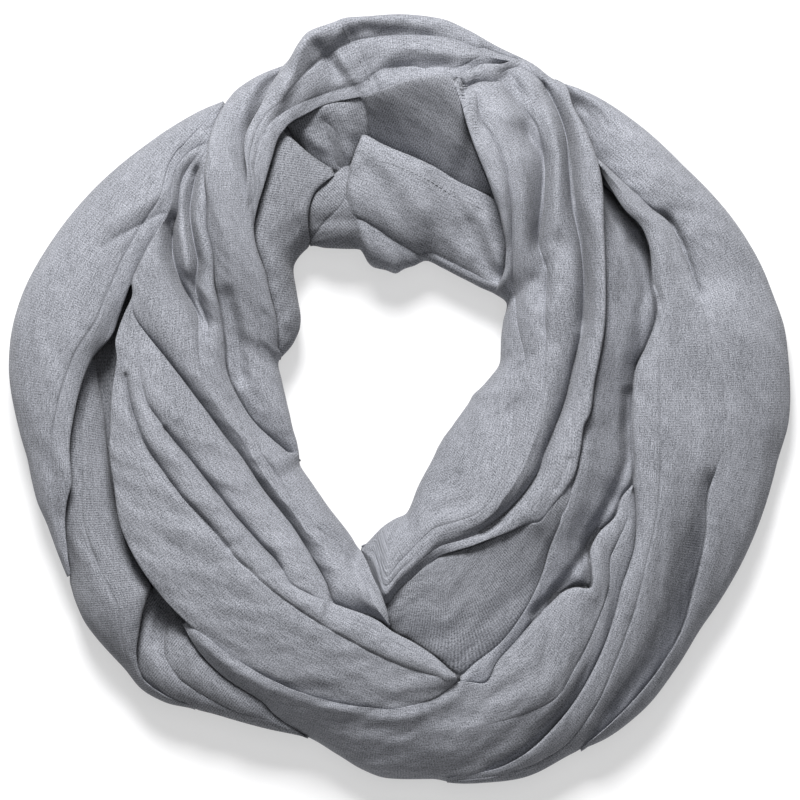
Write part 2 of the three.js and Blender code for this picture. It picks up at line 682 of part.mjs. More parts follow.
// Closed solid through loops of [radius, height] at the given angles, with a flat cap at each end
// or, round the full ring, none.
function sweepLoops(loops, angles, capFaces) {
  const positions = [];
  loops.forEach((loop, i) => {
    const [c, s] = [Math.cos(radians(angles[i])), Math.sin(radians(angles[i]))];
    loop.forEach(([r, z]) => positions.push(r * c, r * s, z));
  });
  const count = loops[0].length;
  const turns = capFaces ? loops.length - 1 : loops.length;
  const index = [];
  for (let i = 0; i < turns; i++) {
    const [here, there] = [i * count, ((i + 1) % loops.length) * count];
    for (let j = 0; j < count; j++) {
      const k = (j + 1) % count;
      index.push(here + j, there + k, there + j, here + j, here + k, there + k);
    }
  }
  if (capFaces) {
    const end = (loops.length - 1) * count;
    for (const [a, b, c] of capFaces) index.push(a, c, b, end + a, end + b, end + c);
  }
  const geometry = new THREE.BufferGeometry();
  geometry.setAttribute('position', new THREE.Float32BufferAttribute(positions, 3));
  geometry.setIndex(index);
  return geometry;
}

// Angles of the sections that a stretch runs through, in order.
function stretchAngles({ from, to }) {
  const turned = SECTION_ANGLES.flatMap((a) => [a - 360, a]);
  return turned.filter((a) => a >= from && a <= to).sort((a, b) => a - b);
}

// One stretch of cloth: a wall whose outer face carries the folds.
function stretchGeometry(stretch) {
  const angles = stretchAngles(stretch);
  const loops = angles.map((angle) => {
    const top = sectionTop(stretch, angle);
    return [...top, ...sectionUnder(top).reverse()];
  });
  const count = loops[0].length;
  const capFaces = [];
  for (let j = 0; j < count / 2 - 1; j++) {
    const [a, b, c, d] = [j, j + 1, count - 2 - j, count - 1 - j];
    capFaces.push([a, b, c], [a, c, d]);
  }
  return sweepLoops(loops, angles, capFaces);
}

// Lowest cloth of one upright section within reach of a radius, or the heap's curve where it is bare.
function lowestCloth(angle, radius, reach) {
  let lowest = heapHeight(angle, radius) - BARE_DEPTH;
  for (const stretch of STRETCHES) {
    const turned = [angle, angle - 360].find((a) => a >= stretch.from && a <= stretch.to);
    if (turned === undefined) continue;
    const under = sectionUnder(sectionTop(stretch, turned));
    for (let i = 0; i < under.length - 1; i++) {
      const [start, end] = [under[i], under[i + 1]].sort((a, b) => a[0] - b[0]);
      if (end[0] < radius - reach || start[0] > radius + reach) continue;
      lowest = Math.min(lowest, start[1], end[1]);
    }
  }
  return lowest;
}

// The hidden layers: one rounded ring, flat underneath, with the edges of its layers at both sides.
function hiddenLayersGeometry() {
  const shares = Array.from({ length: CORE_STEPS + 1 }, (_, i) => i / CORE_STEPS);
  const loops = SECTION_ANGLES.map((angle, i) => {
    const inner = lineRadius('hole_rim', angle);
    const outer = lineRadius('outer_rim', angle);
    const nearby = [-1, 0, 1].map((k) => SECTION_ANGLES.at((i + k) % SECTION_ANGLES.length));
    const top = shares.map((share) => {
      const radius = mix(inner + CORE_INSET, outer - CORE_INSET, share);
      const lowest = Math.min(...nearby.map((a) => lowestCloth(a, radius, CORE_REACH)));
      return [radius, Math.max(lowest - CORE_CLEARANCE, CORE_LEAST_HEIGHT)];
    });
    const innerSide = EDGE_LAYERS.map(([inset, height]) => [inner + inset, height]);
    const outerSide = EDGE_LAYERS.map(([inset, height]) => [outer - inset, height]).reverse();
    return [...innerSide, ...top, ...outerSide];
  });
  return sweepLoops(loops, SECTION_ANGLES, null);
}

function clothMesh(name, geometry, color) {
  const material = new THREE.MeshStandardMaterial({ color, roughness: 0.95, metalness: 0 });
  const mesh = new THREE.Mesh(geometry, material);
  mesh.name = name;
  return mesh;
}

const scarf = new THREE.Group();
for (const stretch of STRETCHES) {
  scarf.add(clothMesh(stretch.name, stretchGeometry(stretch), stretch.color));
}
scarf.add(clothMesh('hidden_layers', hiddenLayersGeometry(), 0x5c5f66));

export default scarf;
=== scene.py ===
import bpy
import math
from collections import namedtuple
import numpy as np
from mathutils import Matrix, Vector


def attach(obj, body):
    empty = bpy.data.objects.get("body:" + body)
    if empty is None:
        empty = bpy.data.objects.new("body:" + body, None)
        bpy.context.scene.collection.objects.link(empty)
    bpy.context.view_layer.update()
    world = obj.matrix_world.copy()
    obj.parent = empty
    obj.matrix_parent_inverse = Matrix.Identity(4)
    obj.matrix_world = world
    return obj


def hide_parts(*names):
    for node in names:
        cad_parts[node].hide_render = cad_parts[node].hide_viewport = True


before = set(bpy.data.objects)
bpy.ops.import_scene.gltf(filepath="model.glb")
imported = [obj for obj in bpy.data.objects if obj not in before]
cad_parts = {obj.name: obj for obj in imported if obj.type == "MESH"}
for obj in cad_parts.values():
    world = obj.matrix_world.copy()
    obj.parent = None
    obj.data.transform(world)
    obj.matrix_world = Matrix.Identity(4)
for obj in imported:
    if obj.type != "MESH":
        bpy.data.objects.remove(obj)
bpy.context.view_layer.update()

# Lengths are millimetres until a mesh is made, apart from the cuts, floor, lights and camera, which are
# metres. Angles are degrees from +X, seen from above.
MM = 0.001

# The heap's height at its rims and its foot, the sizes of folds, and the shape of the curves over heap
# and folds, as in the part's source. CROWN is the heap's height along its middle, as rows of
# [angle, height].
RIM_HEIGHT = 22.0
FOOT_REACH = 9.0
FOOT_HEIGHT = 3.1
ROLL_WIDTH = 11.0
LEAST_FOLD = 5.0
FULL_RISE_WIDTH = 14.0
BARE_DEPTH = 34.0
HEAP_FLAT, HEAP_STEEP = 2.2, 0.55
FOLD_FLAT, FOLD_STEEP = 2.5, 0.45
CROWN = [
    [0, 56], [45, 60], [90, 63], [135, 58], [180, 55], [225, 57], [270, 59], [315, 57], [360, 56],
]

# Cloth: the size of its mesh's cells, its thickness, its least height over the floor, and the angle below
# which a stretch counts as short
CELL = 1.3
CLOTH_THICKNESS = 0.7
LEAST_HEIGHT = 1.2
SHORT_STRETCH = 62.0

# Outlines, edges and creases, each as rows of [angle, radius], as in the part's source, apart from a few
# finer rows in collar_fold, arch_end and strip_edge
LINES = {
    "outer_rim": [
        [0, 211.5], [6, 211.7], [10, 212], [16, 210], [20, 209], [28, 205.5], [36, 201], [40, 199],
        [48, 197.5], [56, 196], [60, 194.5], [64.5, 192.3], [68, 195.5], [74, 198], [80, 204],
        [84, 207.5], [90, 208.5], [95, 208], [98, 208.5], [100, 207], [104, 205], [106, 200],
        [109, 192], [112, 192], [118, 190], [119.5, 188], [125, 190.5], [135, 195], [145, 201],
        [155, 207], [165, 212.5], [170, 213.5], [175, 212.5], [185, 206.5], [190, 204], [195, 204],
        [200, 202.5], [208, 204], [212, 207], [216, 209], [224, 208.3], [228, 210], [232, 207.5],
        [236, 201.5], [240, 197], [248, 192], [254.5, 189.5], [260, 195], [264, 201], [268, 205],
        [275, 206], [278, 209.5], [282, 212], [289, 215.2], [296, 213], [302, 214.7], [308, 213.5],
        [316, 208.5], [324, 204.5], [336, 205.3], [350, 207], [357, 211], [360, 211.5],
    ],
    "hole_rim": [
        [0, 38], [4, 39.5], [8, 43.5], [14, 50], [20, 57.3], [26, 60.5], [32, 64.5], [38, 71],
        [42.5, 78.3], [48, 77], [56, 74.5], [64, 74], [72, 75], [79, 76.7], [84, 73], [88, 71],
        [92, 68.5], [96, 70.5], [101, 73], [103, 76], [104.7, 84], [110, 87], [116, 91.5],
        [120.5, 96.3], [125, 95], [129, 92], [132, 84.5], [136, 76.5], [140, 70], [146, 66],
        [152, 65.3], [158, 67], [162, 69], [170, 65], [180, 61.5], [190, 60], [200, 60], [208, 61.8],
        [213.5, 64.7], [220, 65], [228, 66.5], [236, 69.5], [244, 73.5], [250, 78], [255, 83.2],
        [258, 77], [262, 69.5], [268, 64], [273, 61.8], [276, 57], [280, 50], [284, 45.5], [290, 41],
        [300, 36], [310, 32.5], [322, 31], [336, 31.8], [348, 34], [360, 38],
    ],
    "left_panel_edge": [
        [120, 186.8], [124, 179.5], [127, 173], [128.5, 175], [131, 175.5], [134, 173.5], [136, 170],
        [140, 161.5], [142, 160], [150, 158.7], [160, 158], [166, 158.5], [168, 160], [172, 167],
        [176, 171], [184, 177], [188, 180], [194, 182.5], [197, 188], [200, 192.5], [204, 197],
        [208, 201.5],
    ],
    "left_panel_fold": [
        [124, 184], [134, 178], [140.5, 169], [148, 168], [156, 167.5], [164, 168.5], [172, 177],
        [184, 187], [208, 203],
    ],
    "lower_turn_edge": [
        [172, 166], [176, 164], [184, 160], [192, 161], [200, 163.5], [208, 165.8], [216.5, 167.5],
        [218, 173], [220, 182], [222, 190], [224, 198], [226, 203], [228, 205.3], [231, 204.5],
        [234, 202], [237, 198],
    ],
    "lower_turn_fold": [
        [172, 168], [180, 170.5], [188, 173.5], [194, 177.5], [202, 184], [215, 188], [225, 204],
        [237, 200],
    ],
    "corner_hollow": [
        [217, 167], [221.5, 168], [223, 172], [226, 184], [228, 189], [232, 192], [244, 190],
        [255, 189],
    ],
    "sweep_outer_edge": [
        [159, 154.5], [168, 156.5], [172, 154], [178, 155], [186, 157], [190, 159], [196, 160.5],
        [204, 165], [208, 166], [216, 166.5], [226, 166], [236, 165], [252, 166.5], [268, 166.5],
        [272, 165], [276, 162], [280, 157], [282, 154.5],
    ],
    "sweep_crease": [
        [166, 151], [175, 148.5], [182, 144.5], [190, 139], [196, 133.5], [204, 128], [214, 122.5],
        [228, 122], [240, 124], [255, 130], [282, 154],
    ],
    "sweep_inner_crease": [
        [166, 145], [180, 137], [184, 131], [188, 126], [196, 117], [204, 111.5], [212, 108.8],
        [220, 107.5], [230, 108], [234, 110], [239, 115],
    ],
    "sweep_inner_edge": [
        [239, 115], [250, 115], [258, 116], [262, 117.5], [265, 120], [268, 124.5], [272, 129],
        [276, 135.5], [278, 140], [280, 146], [282, 153.5],
    ],
    "fall_outer_crease": [
        [159, 154], [162, 151], [166, 139], [170, 127.5], [176, 115], [184, 103.5], [192, 96],
        [200, 90.5], [208, 88.5], [220, 87.7], [228, 88.8], [236, 93], [244, 100.5], [248, 106],
        [250, 110], [252, 114.5],
    ],
    "fall_inner_edge": [
        [127, 171], [129, 166], [131, 161], [134, 149], [138, 140], [142, 127.5], [148, 118],
        [154, 107.5], [162, 99.5], [170, 95], [180, 86.5], [188, 80], [196, 73], [204, 67.5], [212, 65],
    ],
    "pleat_low": [
        [128, 172], [130, 168], [134, 160.5], [138, 152.5], [142, 141.5], [146, 131.5], [152, 125],
        [158, 112], [170, 104], [200, 80], [255, 84],
    ],
    "pleat_high": [
        [128, 173], [134, 168], [141, 158.5], [144, 152], [148, 144.5], [152, 133], [156, 120],
        [160, 112.5], [168, 107], [200, 84], [230, 80], [255, 84],
    ],
    "fall_tip": [[255, 83.3], [258, 88], [262, 98], [265, 106], [267, 117], [267.6, 122.5]],
    "inner_roll_crease": [
        [109, 191], [112, 184.5], [116, 174], [120, 166], [121.5, 161], [124, 147], [126, 141],
        [128, 134.5], [130, 126.5], [132, 117.5],
    ],
    "inner_roll_edge": [
        [112.8, 158.5], [114, 157.5], [118, 147], [122, 137.5], [126, 130], [130, 122.5], [132, 117],
        [134, 110], [136, 101], [140, 92], [146, 80.5], [150, 76], [156, 72.5], [162, 69.5],
    ],
    "inner_panel_end": [[106, 128.5], [108, 134.5], [110, 140.5], [111.5, 147], [112.8, 158]],
    "under_layers_edge": [
        [104, 129.5], [108, 125], [112, 121.5], [114, 118], [116, 112.5], [118, 106], [120, 100.5],
    ],
    "under_layers_fold": [[104, 115], [108, 108], [112, 105], [116, 101.5], [120, 98.5]],
    "collar_edge": [
        [45, 79.5], [48, 84.5], [52, 92], [56, 102], [60, 109.5], [64, 118], [66, 120], [70, 120.7],
        [74, 121.5], [82, 127.5], [90, 134], [94, 138.5], [97, 143.5], [98, 144.5], [99, 141],
        [101, 133], [103, 124.5], [105, 113.5], [105.9, 104],
    ],
    "collar_fold": [
        [45, 79], [56, 76], [64, 75.5], [72, 77], [79, 78.5], [84, 80.5], [90, 84.5], [94, 88.5],
        [98, 94], [102, 99.5], [105.9, 103],
    ],
    "arch_bottom": [[96.3, 165], [104, 164.7], [108, 162.5], [112, 160.5], [112.8, 159]],
    "panel_top": [[80.3, 176], [82, 176.3], [86, 174.5], [90, 171.3], [94, 167], [96.5, 164.7]],
    "overlock_edge": [
        [65, 120], [66, 122], [68, 127], [72, 137], [76, 150.5], [78, 160.5], [79, 168], [80.3, 176],
    ],
    "arch_end": [
        [68, 194.5], [70, 193], [72, 190.5], [74, 188.5], [76, 187.5], [77.5, 184], [79, 179.5],
        [80.3, 177],
    ],
    "arch_low_crease": [
        [64, 190], [76, 190], [80, 182], [84, 178.5], [88, 180.5], [93, 179], [97, 172], [105, 170],
        [114, 166], [131, 118],
    ],
    "arch_high_crease": [
        [64, 191], [76, 194], [84, 197.5], [90, 197], [96, 196], [102, 190], [109, 178], [118, 158],
        [131, 119],
    ],
    "first_pleat": [
        [-105, 90], [-98, 100], [-92, 95], [-88, 88.5], [-84, 84], [-76, 79], [-64, 74.5], [-50, 74],
        [-42, 71], [-20, 64], [-8, 61.5], [4, 66], [14, 70], [30, 74], [46, 88], [54, 103], [60, 120],
        [64.5, 134], [70, 149], [74.3, 158], [76, 170], [80.3, 175.5],
    ],
    "second_pleat": [
        [-105, 95], [-60, 79], [-20, 75], [10, 79], [26, 87], [30, 90], [36, 97], [42, 106],
        [48, 111.5], [50, 116.5], [54, 131.5], [58, 147], [60, 154], [64, 166], [68, 172.5],
        [72, 179.5], [75, 186], [80.3, 176],
    ],
    "third_pleat": [
        [-105, 97], [-64, 86], [-54, 83.5], [-40, 83.7], [-28, 84], [-20, 82.5], [-12, 84], [0, 89],
        [10, 94], [20, 103.5], [30, 114.5], [40, 127.5], [48, 139.5], [54, 155], [58, 169], [64, 184],
        [68, 191.5], [70.5, 191], [80.3, 176.5],
    ],
    "fourth_pleat": [
        [-38, 107.5], [-34, 107], [-26, 103.5], [-14, 100.8], [-9, 100], [-4, 103], [4, 104.8],
        [10, 108.5], [20, 117.5], [30, 128], [40, 143.5], [44, 152.5], [48, 162], [52, 170], [58, 181],
        [64.3, 192],
    ],
    "lobe_inner_crease": [
        [-93.5, 111], [-92, 106], [-88, 99], [-80, 90], [-74, 86.5], [-60, 88.5], [-48, 93.5],
        [-44, 96], [-41, 100], [-39, 100.3], [-36, 100.2], [-30, 101.5], [-24, 102.9],
    ],
    "lobe_outer_crease": [
        [-78, 153.5], [-74, 147.5], [-68, 142.5], [-60, 133], [-52, 123], [-44, 113], [-38, 109],
    ],
    "strip_edge": [
        [-78, 154.5], [-76, 156.5], [-73, 159.5], [-70, 151], [-66, 146], [-58, 138.5], [-50, 135.5],
        [-46.5, 138.5], [-44.6, 145], [-42, 139], [-38, 130], [-34, 128.8], [-28, 132], [-24, 130.5],
        [-20, 133.5],
    ],
    "outer_fold_edge": [
        [-20, 133.7], [-16, 131.5], [-12, 128.5], [-4, 125.3], [4, 126], [8, 128.5], [12, 135],
        [20, 147.5], [24, 149.3], [28, 153.5], [32, 158], [36, 160], [40, 158.5], [46, 161.5],
        [52, 168],
    ],
    "lower_pleat": [
        [-84, 206], [-76, 206], [-72, 204], [-64, 194], [-52, 175], [-44, 162], [-40, 156], [-32, 149],
        [-24, 139], [-20, 134],
    ],
    "upper_pleat": [
        [-84, 206.5], [-74, 211.5], [-66, 208.5], [-58, 197], [-50, 182], [-42, 170], [-30, 156],
        [0, 140], [52, 168],
    ],
    "roll_pleat": [
        [-135, 170], [-100, 176], [-64, 182], [-56, 171], [-48, 159.5], [-42, 151.5], [-36, 141],
        [-22, 137],
    ],
    "outer_valley": [
        [-63, 213], [-56, 208], [-48, 203], [-40, 197.5], [-32, 188], [-24, 180.5], [-16, 173.5],
        [-8, 176.5], [0, 174], [8, 171], [22, 170.5], [30, 173], [33, 174], [38, 170], [46, 168],
        [52, 168.3],
    ],
    "roll_turn_edge": [[226, 168.5], [232, 174], [238, 177], [245, 178.5], [248, 182.5], [255, 189.3]],
}

Stretch = namedtuple("Stretch", "show slot dive across")
Row = namedtuple("Row", "line lift rise", defaults=[0])
Cut = namedtuple("Cut", "width length area held")

# Each stretch that shows, much as in the part's source: the range of angles that shows, with its tips,
# its material, how far its first and last end drop under what covers them, and the rows across it from
# inner to outer edge. Each row has its line, the rise of the fold after it, and its lift over the heap's
# own curve. Where an edge follows several lines, they are rows of [line, last angle].
# Stretches with the reverse material are coloured darker, partly as painted shade for their recesses.
STRETCHES = {
    "left_outer_panel": Stretch((120.6, 208), "jersey_face", (6, 0), [
        Row("left_panel_edge", rise=2,
            lift=[[120, -6], [126, -8], [132, -9], [141, -9], [153, -11], [160, -12], [166, -15],
            [170, -12], [182, -6], [207, -4]]),
        Row("left_panel_fold", rise=3,
            lift=[[120, -1], [132, -4], [141, -5], [153, -6], [162, -5], [170, -2], [207, -1]]),
        Row("outer_rim", lift=0),
    ]),
    "left_lower_turn": Stretch((172.5, 236.5), "jersey_reverse", (0, 0), [
        Row("lower_turn_edge", rise=4,
            lift=[[172, -30], [187, -30], [200, -28], [213, -24], [220, -12], [226, -4], [237, -2]]),
        Row("lower_turn_fold", rise=3, lift=[[172, -25], [187, -20], [194, -16], [207, -8], [225, -2]]),
        Row([["left_panel_edge", 208], ["outer_rim"]],
            lift=[[172, -22], [187, -17], [194, -15], [207, -9], [213, -3]]),
    ]),
    "bottom_left_turn": Stretch((217, 254.8), "jersey_reverse", (0, 0), [
        Row([["sweep_outer_edge", 231], ["roll_turn_edge"]], rise=3,
            lift=[[217, -26], [222, -28], [226, -25], [230, -17], [234, -12], [244, -10], [255, -8]]),
        Row("corner_hollow", rise=3, lift=[[217, -31], [222, -28], [226, -16], [232, -7], [244, -3]]),
        Row([["lower_turn_edge", 236], ["outer_rim"]],
            lift=[[217, -28], [221, -22], [226, -12], [232, -6], [237, -1]]),
    ]),
    "front_sweep": Stretch((159.4, 281.6), "jersey_face", (0, 4), [
        Row([["fall_outer_crease", 250], ["sweep_inner_edge"]],
            rise=[[163, 2], [187, 5], [230, 5], [250, 3]],
            lift=[[163, 0], [200, 1], [261, 2], [277, 1]]),
        Row([["sweep_inner_crease", 239], ["sweep_inner_edge"]],
            rise=[[163, 2], [187, 5], [221, 5], [277, 4]],
            lift=[[163, 1], [187, 1], [230, 2], [244, 4]]),
        Row("sweep_crease", rise=[[163, 2], [187, 3], [221, 1]],
            lift=[[163, 1], [187, 1], [207, 3], [221, 4], [262, 3], [277, 2]]),
        Row("sweep_outer_edge",
            lift=[[160, -1], [187, -1], [210, -3], [226, -5], [262, -4], [277, -2]]),
    ]),
    "left_pleated_fall": Stretch((126.9, 267.3), "jersey_face", (3, 5), [
        Row([["fall_inner_edge", 206], ["hole_rim", 254], ["fall_tip"]],
            rise=[[132, 5], [147, 6], [173, 3]],
            lift=[[128, -4], [134, -6], [160, -6], [190, -4], [207, 0], [261, -1]]),
        Row("pleat_low", rise=[[132, 5], [147, 6], [173, 2]],
            lift=[[128, -4], [134, -8], [153, -9], [164, -3], [173, 0]]),
        Row("pleat_high", rise=[[132, 5], [173, 5]],
            lift=[[128, -3], [134, -8], [141, -10], [153, -10], [160, -5], [173, 0]]),
        Row([["left_panel_edge", 157], ["sweep_outer_edge", 161], ["fall_outer_crease", 251],
            ["sweep_inner_edge"]],
            lift=[[128, -4], [136, 1], [153, 1], [162, -3], [170, -8], [180, -10], [237, -11],
            [261, -12]]),
    ]),
    "left_inner_roll": Stretch((109.4, 211.5), "jersey_face", (4, 3), [
        Row([["inner_roll_crease", 125], ["inner_roll_edge", 158], ["hole_rim"]], rise=4,
            lift=[[109, -14], [114, -17], [122, -14], [128, -6], [136, -1], [160, 0]]),
        Row([["outer_rim", 120], ["left_panel_edge", 127], ["fall_inner_edge"]],
            lift=[[109, -6], [116, -4], [121, 0], [128, 1], [134, -2], [141, -7], [153, -15],
            [180, -18], [211, -12]]),
    ]),
    "inner_left_panel": Stretch((106.3, 161.6), "jersey_reverse", (3, 3), [
        Row([["under_layers_edge", 119], ["hole_rim"]], rise=3,
            lift=[[106, -18], [112, -17], [120, -9], [132, -3]]),
        Row([["inner_panel_end", 112.8], ["inner_roll_edge"]],
            lift=[[106, -24], [112, -21], [118, -18], [130, -14], [141, -11], [153, -6]]),
    ]),
    "left_under_layers": Stretch((102.2, 120.2), "jersey_reverse", (4, 2), [
        Row("hole_rim", rise=2, lift=-3),
        Row("under_layers_fold", rise=2, lift=-12),
        Row("under_layers_edge", lift=[[104, -24], [120, -16]]),
    ]),
    "back_arch": Stretch((68.3, 131.5), "jersey_face", (3, 5), [
        Row([["arch_end", 80.3], ["panel_top", 96.5], ["arch_bottom", 112.8], ["inner_roll_edge"]],
            rise=1,
            lift=[[68, -4], [72, -18], [76, -12], [80, -16], [92, -22], [97, -28], [104, -28],
            [109, -18], [114, -9], [122, -6], [131, -3]]),
        Row("arch_low_crease", rise=[[76, 3], [84, 1], [101, 1], [112, 2]],
            lift=[[68, -4], [76, -8], [80, -14], [90, -20], [96, -24], [104, -25], [110, -11],
            [116, -3]]),
        Row("arch_high_crease", rise=[[74, 3], [80, 1], [102, 1], [112, 4]],
            lift=[[68, -3], [76, -6], [84, -9], [92, -9], [98, -11], [104, -12], [109, -4], [114, -1],
            [124, -1]]),
        Row([["outer_rim", 109.5], ["inner_roll_crease"]],
            lift=[[68, 0], [80, 4], [90, 10], [98, 18], [103, 20], [108, 8], [112, 0]]),
    ]),
    "back_inner_left": Stretch((95, 112.4), "jersey_reverse", (3, 2), [
        Row([["collar_edge", 102.1], ["under_layers_edge", 106], ["inner_panel_end"]], rise=2,
            lift=[[95, -44], [112, -43]]),
        Row("arch_bottom", lift=[[95, -31], [104, -30], [112, -31]]),
    ]),
    "back_inner_panel": Stretch((65.3, 96.6), "jersey_reverse", (3, 0), [
        Row("collar_edge", rise=3, lift=[[65, -40], [80, -44], [96.5, -44]]),
        Row([["overlock_edge", 80.3], ["panel_top"]],
            lift=[[65, -36], [74, -28], [79, -8], [88, -6], [93, -9], [96.5, -18]]),
    ]),
    "collar_band": Stretch((45.4, 105.8), "jersey_face", (3, 0), [
        Row("hole_rim", rise=1, lift=-1),
        Row("collar_fold", rise=[[52, 1], [74, 1], [84, 4], [105, 4]],
            lift=[[45, -4], [56, -6], [64, -8], [72, -8], [80, -8], [92, -11], [105, -10]]),
        Row("collar_edge",
            lift=[[45, -16], [52, -20], [64, -22], [70, -19], [76, -16], [84, -15], [98, -16],
            [105, -14]]),
    ]),
    "right_pleated_fall": Stretch((-104.6, 80.2), "jersey_face", (2, 4), [
        Row([["hole_rim", 50], ["collar_edge", 65], ["overlock_edge"]],
            rise=[[-99, 2], [-40, 1], [20, 1], [40, 4], [58, 6], [76, 3]],
            lift=[[-104, -10], [-96, -5], [-88, -1], [0, 0], [44, 0], [52, -2], [76, -2]]),
        Row("first_pleat", rise=[[-99, 3], [-50, 2], [-30, 1], [20, 1], [40, 4], [58, 4], [76, 4]],
            lift=[[-104, -12], [-92, -8], [-60, -4], [-42, -1], [-6, -2], [18, -1], [40, -4], [58, -5],
            [70, -3], [76, -6]]),
        Row("second_pleat", rise=[[-99, 3], [-42, 3], [20, 6], [36, 7], [58, 7], [70, 3]],
            lift=[[-104, -14], [-92, -10], [-60, -5], [-42, -1], [10, -1], [30, -3], [44, -11],
            [58, -13], [70, -12]]),
        Row("third_pleat", rise=[[-99, 3], [-42, 4], [18, 7], [58, 8], [70, 3]],
            lift=[[-104, -15], [-92, -12], [-60, -12], [-20, -12], [18, -13], [58, -13], [70, -6]]),
        Row([["fall_tip", -96], ["lobe_inner_crease", -24], ["fourth_pleat", 61], ["outer_rim", 72],
            ["arch_end"]],
            lift=[[-104, -20], [-97, -22], [-60, -12], [-40, -14], [-20, -7], [18, -1], [60, 0],
            [70, -2], [76, -5]]),
    ]),
    "right_mid_strip": Stretch((-77.8, 51), "jersey_face", (0, 3), [
        Row([["lobe_outer_crease", -37], ["fourth_pleat"]], rise=4,
            lift=[[-78, -20], [-66, -26], [-56, -28], [-44, -22], [-36, -14], [-20, -11], [10, -10],
            [30, -12], [42, -18], [51, -24]]),
        Row([["strip_edge", -20], ["outer_fold_edge"]],
            lift=[[-78, -16], [-66, -29], [-52, -36], [-44, -38], [-30, -36], [-12, -34], [0, -31],
            [10, -29], [18, -31], [30, -35], [42, -38], [51, -37]]),
    ]),
    "right_lower_lobe": Stretch((-95, -24.5), "jersey_reverse", (4, 0), [
        Row("lobe_inner_crease", rise=2,
            lift=[[-95, -22], [-80, -18], [-60, -18], [-48, -16], [-40, -12], [-32, -10], [-24, -9]]),
        Row([["sweep_inner_edge", -78], ["lobe_outer_crease", -37], ["fourth_pleat"]],
            lift=[[-95, -30], [-80, -33], [-60, -33], [-48, -28], [-40, -19], [-32, -12], [-24, -10]]),
    ]),
    "right_outer_fold": Stretch((-83, 51.5), "jersey_face", (0, 3), [
        Row([["lower_pleat", -20.5], ["outer_fold_edge"]], rise=[[-72, 3], [-42, 4], [0, 3]],
            lift=[[-83, -4], [-60, -5], [-40, -6], [-26, -8], [-16, -4], [10, -3], [42, -5],
            [51, -8]]),
        Row("upper_pleat", rise=[[-72, 3], [-20, 2], [-8, 0], [20, 0], [30, 3], [42, 4]],
            lift=[[-83, -3], [-57, -6], [-42, -5], [-20, 0], [0, 2], [42, 0]]),
        Row([["outer_rim", -63], ["outer_valley"]],
            lift=[[-83, -1], [-66, -4], [-57, -10], [-48, -15], [-38, -21], [-30, -19], [-20, -10],
            [-8, -3], [8, -3], [18, -4], [30, -8], [42, -8]]),
    ]),
    "right_outer_panel": Stretch((-62.7, 64.2), "jersey_face", (2, 0), [
        Row([["outer_valley", 52], ["fourth_pleat"]], rise=[[-63, 3], [-20, 2], [-8, 0], [18, 0],
            [30, 4]],
            lift=[[-63, -2], [-50, -3], [-38, -5], [-20, -5], [-8, -3], [8, -3], [15, -5], [22, -15],
            [32, -14], [40, -8], [46, -16], [52, -28], [61, -24]]),
        Row("outer_rim", lift=[[-63, -3], [-40, -6], [0, -8], [20, -6], [40, -1], [61, 0]]),
    ]),
    "front_lower_roll": Stretch((-134, -20.3), "jersey_face", (3, 0), [
        Row([["sweep_outer_edge", -78.5], ["strip_edge"]], rise=[[-134, 0], [-78, 0], [-66, 4]],
            lift=[[-134, -8], [-123, -3], [-100, -2], [-83, -3], [-74, -4], [-50, -4], [-44, -2],
            [-30, -8], [-20, -10]]),
        Row("roll_pleat", rise=[[-134, 0], [-76, 0], [-62, 3]],
            lift=[[-134, -9], [-123, -5], [-100, -4], [-83, -4], [-63, -2], [-50, -7], [-38, -9],
            [-26, -9]]),
        Row([["roll_turn_edge", -105], ["outer_rim", -76], ["lower_pleat"]],
            lift=[[-134, -10], [-123, -8], [-110, -7], [-99, -6], [-83, -6], [-57, -12], [-40, -13],
            [-26, -12]]),
    ]),
}

